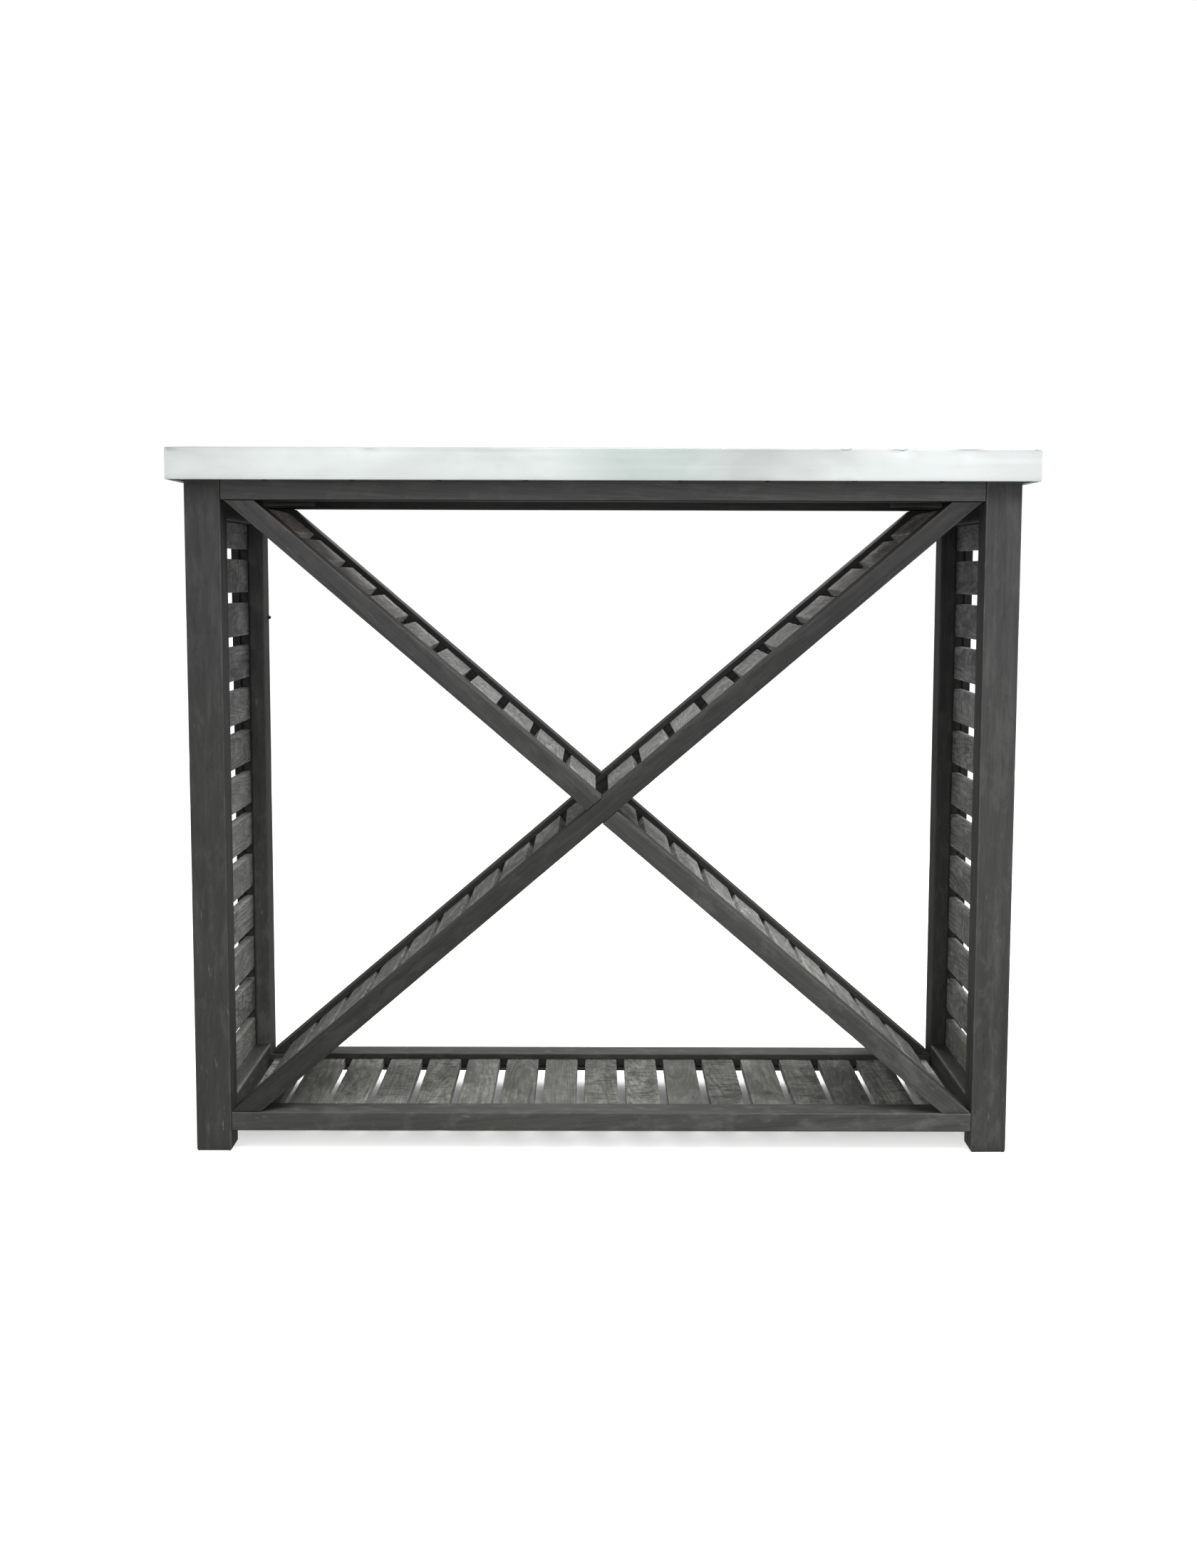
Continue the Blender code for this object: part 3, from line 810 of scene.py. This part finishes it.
def zinc_mesh(low, high):
    """Points and faces of the sheet: flat on top, folded down on all sides, and hemmed under the edge."""
    xs = spread(high.x - ZINC_TUCK - ZINC_FOLD)
    ys = spread(high.y - ZINC_FOLD)
    last_x, last_y = len(xs) - 1, len(ys) - 1
    across = len(ys)
    verts = [(x, y, high.z) for x in xs for y in ys]
    faces = []
    for i in range(last_x):
        for j in range(last_y):
            first = i * across + j
            faces.append((first, first + across, first + across + 1, first + 1))
    border = [(i, 0) for i in range(last_x)] + [(last_x, j) for j in range(last_y)]
    border += [(i, last_y) for i in range(last_x, 0, -1)] + [(0, j) for j in range(last_y, 0, -1)]
    previous = [i * across + j for i, j in border]
    for reach, z in fold_profile(high.z, low.z):
        ring = []
        for i, j in border:
            out = Vector(((i == last_x) - (i == 0), (j == last_y) - (j == 0)))
            step = out if reach < 0 else out.normalized()
            ring.append(len(verts))
            verts.append((xs[i] + step.x * reach, ys[j] + step.y * reach, z))
        for k, start in enumerate(ring):
            after = (k + 1) % len(ring)
            faces.append((previous[k], start, ring[after], previous[after]))
        previous = ring
    return np.array(verts), faces


def make_zinc(finish):
    """The zinc sheet over the top, with its waves, knocks and folded corners."""
    low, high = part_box("worktop_zinc_cover")
    points, faces = zinc_mesh(low, high)
    outward = np.zeros_like(points)
    outward[:, 2] = points[:, 2] > high.z - ZINC_FOLD
    on_end = np.abs(points[:, 0]) > high.x - ZINC_TUCK - 1e-4
    on_side = np.abs(points[:, 1]) > high.y - 1e-4
    outward[on_end, 0] = np.sign(points[on_end, 0])
    outward[on_side, 1] = np.sign(points[on_side, 1])
    sunk = zinc_waves(points) + zinc_knocks(points, high)
    moved = points - outward * sunk[:, None]
    mesh = new_mesh("zinc_sheet", moved.tolist(), faces, finish)
    # Where the painted dark reflection runs along the top of the folded sides
    beside = np.maximum(np.abs(points[:, 0]) - high.x, np.abs(points[:, 1]) - high.y) > -FOLD_LINE_REACH
    fold_line = np.exp(-(((high.z - points[:, 2]) / FOLD_LINE_WIDTH) ** 2)) * beside
    add_attribute(mesh, "fold", fold_line)
    # The top face, which gets painted shade, patina and scratches
    add_attribute(mesh, "used_top", (points[:, 2] > high.z - 1e-5).astype(float))
    mesh.set_sharp_from_angle(angle=SMOOTH_ANGLE)
    obj = new_object("zinc_sheet", mesh)
    sheet = obj.modifiers.new("sheet", "SOLIDIFY")
    sheet.thickness = ZINC * 0.8
    sheet.offset = -1
    finish_piece(obj, "zinc", "worktop_zinc_cover")


def make_tack(name, place, finish):
    """A small domed tack head under the hem."""
    around, rings = TACK_AROUND, TACK_RINGS
    verts = [(0.0, 0.0, -TACK_HEIGHT)]
    for step in range(1, rings + 1):
        turn = math.radians(90) * step / rings
        reach, drop = TACK_RADIUS * math.sin(turn), TACK_HEIGHT * math.cos(turn)
        for k in range(around):
            angle = 2 * math.pi * k / around
            verts.append((reach * math.cos(angle), reach * math.sin(angle), -drop))
    faces = [(0, 1 + (k + 1) % around, 1 + k) for k in range(around)]
    for step in range(rings - 1):
        start = 1 + step * around
        for k in range(around):
            after = (k + 1) % around
            faces.append((start + k, start + after, start + around + after, start + around + k))
    faces.append([1 + (rings - 1) * around + k for k in range(around)])
    obj = new_object(name, new_mesh(name, verts, faces, finish, flat=1))
    obj.location = place
    finish_piece(obj, "screw_steel")


def make_tacks(finish):
    """The tacks along the front and rear hems."""
    low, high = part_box("worktop_zinc_cover")
    count = int((high.x - TACK_START) / TACK_SPACING) + 1
    places = [high.x - TACK_START - index * TACK_SPACING for index in range(count)]
    for side_name, side in FRONT_REAR:
        for end_name, end in LEFT_RIGHT:
            for index, x in enumerate(places):
                place = (end * x, side * (high.y - ZINC_HEM / 2), low.z)
                make_tack("tack_%s_%s_%d" % (side_name, end_name, index + 1), place, finish)


def make_worktop_board(finish):
    """The board that the zinc is wrapped round."""
    size, centre = box_facts("worktop_board", ALONG_X)
    size = [extent - WORKTOP_CLEAR for extent in size]
    obj = board("board_under_zinc", size, placed(*ALONG_X, centre), finish, HIDDEN, next(SEEDS))
    finish_piece(obj, "top_board", "worktop_board")


# --- materials


class Nodes:
    """Short names for adding and linking the nodes of one material."""

    def __init__(self, name):
        self.material = bpy.data.materials.new(name)
        self.material.use_nodes = True
        self.tree = self.material.node_tree
        self.shader = self.tree.nodes["Principled BSDF"]

    def add(self, kind, numbers=None, **settings):
        """A new node, with its settings and the plain numbers of its inputs."""
        node = self.tree.nodes.new(kind)
        for key, value in settings.items():
            setattr(node, key, value)
        for key, value in (numbers or {}).items():
            node.inputs[key].default_value = value
        return node

    def link(self, source, target):
        self.tree.links.new(source, target)

    def set_or_link(self, socket, value):
        if isinstance(value, (int, float, tuple)):
            socket.default_value = value
        else:
            self.link(value, socket)

    def feed(self, name, source):
        """Link a value to one of the shader's inputs."""
        self.link(source, self.shader.inputs[name])

    def attribute(self, name, output="Fac"):
        """What the mesh stores for each point under a name."""
        return self.add("ShaderNodeAttribute", attribute_name=name).outputs[output]

    def place(self):
        """The place of each point in the object's own frame."""
        return self.add("ShaderNodeTexCoord").outputs["Object"]

    def split(self, vector):
        """The three parts of a vector."""
        node = self.add("ShaderNodeSeparateXYZ")
        self.link(vector, node.inputs[0])
        return node.outputs

    def vector(self, **parts):
        """A vector made of the given parts, X, Y or Z, with 0 for the others."""
        node = self.add("ShaderNodeCombineXYZ")
        for name, source in parts.items():
            self.link(source, node.inputs[name])
        return node.outputs[0]

    def noise(self, vector, scale, detail=3.0, roughness=0.55, distortion=0.0):
        """Noise from 0 to 1, with a scale of its own along each axis."""
        scaled = self.add("ShaderNodeVectorMath", {1: scale}, operation="MULTIPLY")
        self.link(vector, scaled.inputs[0])
        numbers = {"Scale": 1.0, "Detail": detail, "Roughness": roughness, "Distortion": distortion}
        node = self.add("ShaderNodeTexNoise", numbers)
        self.link(scaled.outputs[0], node.inputs["Vector"])
        return node.outputs["Fac"]

    def math(self, operation, first, second=0.0):
        node = self.add("ShaderNodeMath", operation=operation)
        self.set_or_link(node.inputs[0], first)
        self.set_or_link(node.inputs[1], second)
        return node.outputs[0]

    def times(self, *values):
        """The product of sockets and plain numbers."""
        return reduce(lambda first, second: self.math("MULTIPLY", first, second), values)

    def plus(self, *values):
        """The sum of sockets and plain numbers."""
        return reduce(lambda first, second: self.math("ADD", first, second), values)

    def between(self, value, low, high, to_low=0.0, to_high=1.0):
        """Map a value from one range to another, held at both ends."""
        numbers = {"From Min": low, "From Max": high, "To Min": to_low, "To Max": to_high}
        node = self.add("ShaderNodeMapRange", numbers, clamp=True)
        self.link(value, node.inputs["Value"])
        return node.outputs["Result"]

    def band(self, value, *edges):
        """1 between the two middle edges, falling to 0 at the outer two."""
        start, full, fading, end = edges
        return self.times(self.between(value, start, full), self.between(value, fading, end, 1.0, 0.0))

    def mix(self, share, first, second, blend="MIX"):
        """Blend two colours. Each is a socket or a plain colour."""
        node = self.add("ShaderNodeMix", data_type="RGBA", blend_type=blend)
        self.set_or_link(node.inputs[0], share)
        colours = [socket for socket in node.inputs if socket.type == "RGBA"]
        self.set_or_link(colours[0], first)
        self.set_or_link(colours[1], second)
        return [socket for socket in node.outputs if socket.type == "RGBA"][0]

    def painted(self, colour, *layers):
        """Lay colours over a first one. Each layer is the share that it covers, and its colour."""
        for share, paint in layers:
            colour = self.mix(share, colour, paint)
        return colour

    def faded(self, colour, stain, palest, darkest):
        """Make a colour paler where the stain attribute, which also holds painted light and shade, is below
        0, and darker where it is above.
        """
        paler = self.between(stain, -1.0, 0.0, palest, 1.0)
        darker = self.between(stain, 0.0, 1.0, 1.0, darkest)
        node = self.add("ShaderNodeVectorMath", operation="SCALE")
        self.link(colour, node.inputs[0])
        self.link(self.times(paler, darker), node.inputs["Scale"])
        return node.outputs[0]

    def bump(self, height, distance, strength):
        """Fine relief that tilts the surface's shading."""
        node = self.add("ShaderNodeBump", {"Strength": strength, "Distance": distance})
        self.link(height, node.inputs["Height"])
        self.feed("Normal", node.outputs["Normal"])


def grey(value, warm=0.0, green=0.0):
    """A near-neutral colour, tipped a little towards brown or green."""
    return (value * (1 + warm), value * (1 + warm * 0.3 + green), value * (1 - warm - green * 0.4), 1.0)


def ring_pattern(nodes, log, spacing, ripple=0.0020):
    """The year rings as seen on a sawn face: 0 in the soft early wood, 1 in the hard late wood."""
    parts = nodes.split(log)
    radius = nodes.add("ShaderNodeVectorMath", operation="LENGTH")
    nodes.link(nodes.vector(Y=parts[1], Z=parts[2]), radius.inputs[0])
    bend = nodes.times(nodes.noise(log, (5, 16, 16), 2.0), 0.020)
    waver = nodes.times(nodes.noise(log, (16, 60, 60), 2.0), ripple)
    total = nodes.plus(radius.outputs["Value"], bend, waver)
    turn = nodes.math("FRACT", nodes.math("DIVIDE", total, spacing))
    rise = nodes.between(turn, 0.15, 0.86)
    fall = nodes.between(turn, 0.90, 1.0, 1.0, 0.0)
    return nodes.times(nodes.math("POWER", rise, 1.8), fall)


def planed_timber():
    """Planed timber under a worn charcoal stain, which turns paler and more olive towards the floor."""
    nodes = Nodes("planed_timber")
    log = nodes.attribute("log_place", "Vector")
    low = nodes.between(nodes.attribute("rise"), 0.02, 0.75, 1.0, 0.0)
    fibre = nodes.noise(log, (14, 620, 620), 4.0, 0.6)
    streak = nodes.noise(log, (2.2, 110, 110))
    bands = nodes.noise(log, (1.1, 40, 40), 2.0)
    patches = nodes.noise(log, (7, 15, 15), 4.0, 0.6)
    mottle = nodes.between(nodes.noise(log, (24, 60, 60), 5.0, 0.65, 0.3), 0.50, 0.66, 0.0, 0.55)
    rub = nodes.between(nodes.noise(log, (34, 90, 90), 4.0, 0.65), 0.44, 0.64, 0.35, 1.0)
    scuff = nodes.between(nodes.noise(log, (40, 150, 150), 5.0, 0.7, 0.4), 0.62, 0.70)
    rings = ring_pattern(nodes, log, 0.0052)
    body = nodes.plus(nodes.times(fibre, 0.40), nodes.times(streak, 0.35), nodes.times(bands, 0.25))
    body = nodes.between(body, 0.36, 0.64)
    colour = nodes.painted(
        nodes.mix(body, grey(0.024), grey(0.051)),
        (nodes.times(rings, 0.24), grey(0.020, 0.02)),
        (
            nodes.times(low, nodes.between(patches, 0.36, 0.62, 0.25, 0.95)),
            nodes.mix(body, grey(0.034, 0.05, 0.03), grey(0.062, 0.05, 0.03)),
        ),
        (nodes.times(mottle, nodes.between(low, 0.0, 1.0, 0.35, 1.0)), grey(0.090, 0.03, 0.02)),
        (nodes.between(nodes.attribute("tone"), -1.0, 1.0, 0.0, 0.22), grey(0.027, -0.02)),
        # Rubbed wear on the corners, and a painted highlight that pales every corner a little
        (
            nodes.times(rub, nodes.between(nodes.attribute("corner"), 0.45, 0.95), 0.50),
            grey(0.17, 0.03, 0.02),
        ),
        (
            nodes.times(scuff, nodes.between(patches, 0.50, 0.60), nodes.between(low, 0.0, 1.0, 0.05, 0.45)),
            grey(0.26, 0.03, 0.02),
        ),
    )
    # Painted light and shade, as well as stain, from the stain attribute
    nodes.feed("Base Color", nodes.faded(colour, nodes.attribute("stain"), 2.1, 0.20))
    nodes.feed("Roughness", nodes.between(nodes.plus(fibre, patches), 0.75, 1.25, 0.50, 0.72))
    nodes.shader.inputs["Specular IOR Level"].default_value = 0.22
    nodes.bump(nodes.plus(fibre, nodes.times(rings, 0.5)), 0.00016, 0.7)
    return nodes.material


def saw_marks(nodes, log, torn, rough_share):
    """Slanting marks from the saw, in patches, on the slats that are rough."""
    slant = nodes.add("ShaderNodeVectorMath", {1: (1.0, 0.42, 0.20)}, operation="DOT_PRODUCT")
    nodes.link(log, slant.inputs[0])
    numbers = {"Scale": 52.0, "Distortion": 0.0}
    saw = nodes.add("ShaderNodeTexWave", numbers, wave_type="BANDS", bands_direction="X", wave_profile="SAW")
    nodes.link(nodes.vector(X=slant.outputs["Value"]), saw.inputs["Vector"])
    here = nodes.between(nodes.noise(log, (12, 26, 26), 3.0, 0.6), 0.46, 0.60)
    marks = nodes.times(saw.outputs["Fac"], nodes.between(torn, 0.44, 0.60), here)
    return nodes.times(marks, nodes.between(rough_share, 0.10, 0.45))


def long_cracks(nodes, log, torn):
    """Thin dark cracks along the fibre."""
    crack = nodes.math("SUBTRACT", nodes.noise(log, (13, 150, 150), 3.0, 0.6), 0.5)
    thin = nodes.between(nodes.math("ABSOLUTE", crack), 0.003, 0.010, 1.0, 0.0)
    return nodes.times(thin, nodes.between(torn, 0.48, 0.58))


def sawn_timber():
    """Rough-sawn slats under a thin charcoal wash: torn fibre, year rings, saw marks and pale dusty wear."""
    nodes = Nodes("sawn_timber")
    log = nodes.attribute("log_place", "Vector")
    tone = nodes.attribute("tone")
    rough_share = nodes.attribute("chipped")
    low = nodes.between(nodes.attribute("rise"), 0.05, 0.60, 1.0, 0.0)
    worn = nodes.between(nodes.attribute("corner"), 0.2, 0.8)
    fibre = nodes.noise(log, (26, 700, 700), 5.0, 0.68)
    coarse = nodes.noise(log, (11, 210, 210), 4.0, 0.6)
    clouds = nodes.noise(log, (15, 32, 32), 4.0, 0.62, 0.9)
    stains = nodes.noise(log, (9, 21, 21), 3.0, 0.6, 0.4)
    torn = nodes.noise(log, (70, 130, 130), 5.0, 0.72)
    broken = nodes.between(nodes.noise(log, (8, 38, 38)), 0.40, 0.58, 0.12, 0.58)
    chip = nodes.between(nodes.noise(log, (150, 30, 30), 4.0, 0.6, 0.8), 0.54, 0.60)
    splinters = nodes.between(nodes.noise(log, (90, 520, 520), 4.0, 0.7), 0.64, 0.70)
    rings = ring_pattern(nodes, log, 0.0044, 0.0032)
    marks = saw_marks(nodes, log, torn, rough_share)
    cracks = long_cracks(nodes, log, torn)
    chips = nodes.times(chip, nodes.between(rough_share, 0.0, 0.5))
    body = nodes.between(nodes.plus(nodes.times(fibre, 0.50), nodes.times(coarse, 0.50)), 0.36, 0.64)
    colour = nodes.painted(
        nodes.mix(body, grey(0.095), grey(0.320)),
        (nodes.between(clouds, 0.45, 0.60, 0.0, 0.62), nodes.mix(body, grey(0.240), grey(0.560))),
        (nodes.between(stains, 0.50, 0.64, 0.0, 0.50), grey(0.085)),
        (nodes.between(nodes.noise(log, (6, 13, 13), 2.0), 0.62, 0.74, 0.0, 0.22), SAWN_ROSY),
        (nodes.times(rings, broken), grey(0.060)),
        (nodes.times(marks, 0.6), grey(0.46)),
        (nodes.times(cracks, 0.75), grey(0.050)),
        (nodes.times(chips, 0.75), grey(0.050)),
        (nodes.between(tone, 0.0, 1.0, 0.0, 0.30), grey(0.34)),
        (nodes.between(tone, -1.0, 0.0, 0.24, 0.0), grey(0.095)),
        (nodes.times(splinters, 0.8), grey(0.62)),
        (nodes.times(nodes.between(torn, 0.44, 0.60), worn, 0.5), grey(0.38)),
        (nodes.times(nodes.attribute("knot"), 0.55), grey(0.055, 0.05)),
    )
    colour = nodes.mix(low, colour, SAWN_LOW_FILTER, "MULTIPLY")
    # Painted light and shade, as well as stain, from the stain attribute
    nodes.feed("Base Color", nodes.faded(colour, nodes.attribute("stain"), 1.9, 0.30))
    nodes.feed("Roughness", nodes.between(body, 0.0, 1.0, 0.60, 0.85))
    nodes.shader.inputs["Specular IOR Level"].default_value = 0.30
    raised = ((fibre, 0.7), (coarse, 0.7), (rings, 0.55), (marks, 0.5), (chips, -0.9), (cracks, -0.8))
    nodes.bump(nodes.plus(*(nodes.times(part, share) for part, share in raised)), 0.00050, 0.9)
    return nodes.material


def zinc_sheet_finish():
    """Satin zinc sheet: a cloudy pale bloom, duller and greener past the middle and brightest at the right,
    which is painted light, with a painted dark reflection along the fold, rolling lines, and a top darkened
    all over by painted shade, clouded with patina and scratched from use."""
    nodes = Nodes("zinc")
    place = nodes.place()
    used_top = nodes.attribute("used_top")
    clouds = nodes.noise(place, (6, 10, 14), 4.0, 0.55, 0.4)
    blotches = nodes.noise(place, (42, 42, 42), 5.0, 0.65)
    rolling = nodes.noise(place, (3, 260, 260))
    specks = nodes.noise(place, (420, 420, 420), 2.0)
    patina = nodes.between(nodes.noise(place, (13, 15, 13), 6.0, 0.66, 0.7), 0.42, 0.66, 0.0, 0.42)
    scratches = nodes.between(nodes.noise(place, (4, 340, 4), 3.0, 0.6), 0.60, 0.70, 0.0, 0.25)
    along = nodes.plus(nodes.split(place)[0], nodes.times(nodes.math("SUBTRACT", clouds, 0.5), 0.22))
    colour = nodes.painted(
        nodes.mix(nodes.between(clouds, 0.34, 0.68), ZINC_CLOUD, ZINC_CLEAR),
        (nodes.between(along, -0.535, -0.44, 1.0, 0.0), ZINC_DULL),
        (nodes.band(along, -0.06, 0.02, 0.11, 0.17), ZINC_GREEN),
        (nodes.band(along, 0.11, 0.17, 0.21, 0.34), ZINC_DULL),
        # Painted light: paler towards the right end
        (nodes.between(along, 0.30, 0.42), ZINC_BRIGHT),
        (nodes.between(blotches, 0.55, 0.75, 0.0, 0.16), ZINC_DULL),
        (nodes.between(specks, 0.70, 0.76, 0.0, 0.30), ZINC_SPECK),
    )
    colour = nodes.painted(
        # Painted shade over the whole top face
        nodes.mix(used_top, colour, ZINC_USED_TOP, "MULTIPLY"),
        (nodes.times(used_top, patina), ZINC_PATINA),
        (nodes.times(used_top, scratches), ZINC_SCRATCH),
        # A painted dark reflection along the top of the fold
        (nodes.times(nodes.attribute("fold"), 0.75), ZINC_FOLD_LINE),
    )
    nodes.feed("Base Color", colour)
    nodes.shader.inputs["Metallic"].default_value = 0.55
    uneven = nodes.plus(clouds, nodes.times(rolling, 0.5))
    nodes.feed("Roughness", nodes.between(uneven, 0.55, 0.95, 0.34, 0.50))
    nodes.bump(nodes.plus(nodes.times(rolling, 0.25), nodes.times(blotches, 0.6)), 0.00018, 0.4)
    return nodes.material


def bare_timber():
    """The pale unstained board under the zinc."""
    nodes = Nodes("bare_timber")
    log = nodes.attribute("log_place", "Vector")
    fibre = nodes.noise(log, (12, 500, 500), 4.0, 0.6)
    patches = nodes.noise(log, (6, 14, 14), 4.0)
    rings = ring_pattern(nodes, log, 0.0060)
    colour = nodes.painted(
        nodes.mix(nodes.between(fibre, 0.35, 0.65), BARE_SOFT, BARE_HARD),
        (nodes.times(rings, 0.6), BARE_RING),
        (nodes.between(patches, 0.45, 0.7, 0.0, 0.3), BARE_PATCH),
    )
    nodes.feed("Base Color", colour)
    nodes.feed("Roughness", nodes.between(fibre, 0.3, 0.7, 0.6, 0.8))
    nodes.bump(fibre, 0.0002, 0.6)
    return nodes.material


def dark_steel():
    """Blackened steel, for the proud screw and the tacks."""
    nodes = Nodes("screw_steel")
    stains = nodes.noise(nodes.place(), (900, 900, 900), 4.0, 0.6)
    nodes.feed("Base Color", nodes.mix(nodes.between(stains, 0.4, 0.6), STEEL_BLACK, STEEL_WORN))
    nodes.shader.inputs["Metallic"].default_value = 0.85
    nodes.feed("Roughness", nodes.between(stains, 0.3, 0.7, 0.35, 0.6))
    nodes.bump(stains, 0.0001, 0.5)
    return nodes.material


def floor_finish():
    """A plain white floor that glows: less near the bench, so that the cast shadow shows there, far less
    under the shelf as a painted shadow, and more in front of it as painted light that clears the cast shadow
    there."""
    nodes = Nodes("white_floor")
    parts = nodes.split(nodes.place())
    across, behind = parts[0], parts[1]
    aside = nodes.math("ABSOLUTE", across)
    # Less glow near the bench, so that the cast shadow shows
    near = nodes.band(across, -0.60, -0.50, 0.66, 0.80)
    near = nodes.times(near, nodes.between(behind, 0.08, 0.26, 1.0, 0.0))
    glow = nodes.between(near, 0.0, 1.0, FLOOR_FAR_GLOW, FLOOR_GLOW)
    # Painted shadow under the shelf
    under = nodes.band(behind, -0.08, 0.04, 0.08, 0.23)
    under = nodes.times(under, nodes.between(aside, 0.50, 0.56, 1.0, 0.0))
    # Painted light in front of the shelf
    front = nodes.between(behind, -0.16, -0.05, 1.0, 0.0)
    front = nodes.times(front, nodes.between(aside, 0.47, 0.54, 1.0, 0.0))
    darker = nodes.between(under, 0.0, 1.0, 1.0, UNDER_DROP)
    lighter = nodes.between(front, 0.0, 1.0, 1.0, FRONT_LIFT)
    nodes.feed("Emission Strength", nodes.times(glow, darker, lighter))
    return nodes.material


# --- the studio


def make_camera():
    """The camera at the photograph's viewing angle."""
    data = bpy.data.cameras.new("photo_camera")
    data.sensor_width = SENSOR
    data.lens = CAMERA_LENS
    camera = new_object("photo_camera", data)
    turned = Matrix.Rotation(CAMERA_YAW, 4, "Z") @ Matrix.Rotation(math.pi / 2 - CAMERA_PITCH, 4, "X")
    rolled = turned @ Matrix.Rotation(-CAMERA_ROLL, 4, "Z")
    camera.matrix_world = Matrix.Translation(CAMERA_PLACE) @ rolled
    bpy.context.scene.camera = camera


def make_floor():
    """A plain pale floor with no edge in view. It takes shadows but throws no light back."""
    reach = FLOOR_REACH
    corners = ((-reach, -reach, 0), (reach, -reach, 0), (reach, reach, 0), (-reach, reach, 0))
    floor = new_object("floor", new_mesh("floor", corners, [(0, 1, 2, 3)], floor_finish(), flat=1))
    floor.visible_diffuse = False
    floor.visible_glossy = False


def make_world():
    """White surroundings: soft light from all sides, and plain white in view."""
    world = bpy.data.worlds.new("white_room")
    bpy.context.scene.world = world
    world.use_nodes = True
    tree = world.node_tree
    background = tree.nodes["Background"]
    background.inputs["Color"].default_value = (1, 1, 1, 1)
    seen = tree.nodes.new("ShaderNodeLightPath")
    strength = tree.nodes.new("ShaderNodeMapRange")
    tree.links.new(seen.outputs["Is Camera Ray"], strength.inputs["Value"])
    strength.inputs["To Min"].default_value = ROOM_GLOW
    strength.inputs["To Max"].default_value = 1.0
    tree.links.new(strength.outputs["Result"], background.inputs["Strength"])


def add_softbox(name, place, size, power, aim=(0, 0, 0.45), mirrored=True):
    """A large soft lamp, which the camera doesn't see."""
    data = bpy.data.lights.new(name, "AREA")
    data.shape = "RECTANGLE"
    data.size, data.size_y = size
    data.energy = power
    lamp = new_object(name, data)
    lamp.location = place
    lamp.rotation_euler = (Vector(aim) - Vector(place)).to_track_quat("-Z", "Y").to_euler()
    lamp.visible_camera = False
    lamp.visible_glossy = mirrored


def make_studio():
    """Soft light mostly from above on the right, with weaker lamps in front, behind and on the left."""
    bpy.context.scene.view_settings.view_transform = "Standard"
    make_world()
    add_softbox("key", (1.2, -1.7, 3.1), (2.4, 1.4), 110)
    add_softbox("left", (-1.9, -2.6, 2.2), (1.4, 1.4), 22)
    add_softbox("front", (0.0, -3.4, 0.75), (2.4, 1.0), 32, mirrored=False)
    add_softbox("back", (0.4, 1.9, 2.6), (3.0, 2.0), 60, (0, 0, 0.2))
    add_softbox("reflector", (0.0, -1.3, 0.02), (2.4, 0.9), 4, (0, 0, 0.7))


# --- the whole bench


def make_bench():
    """Every piece, each with its finish."""
    planed = planed_timber()
    sawn = sawn_timber()
    make_legs(planed)
    make_long_rails(planed)
    make_side_rails(planed)
    make_braces(planed)
    make_blocks(planed)
    make_side_slats(sawn)
    make_shelf_slats(sawn)
    make_brace_slats(sawn)
    make_worktop_board(bare_timber())
    make_zinc(zinc_sheet_finish())
    steel = dark_steel()
    make_tacks(steel)
    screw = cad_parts["leg_screw"]
    screw.data.materials.clear()
    screw.data.materials.append(steel)


make_camera()
make_floor()
make_studio()
make_bench()
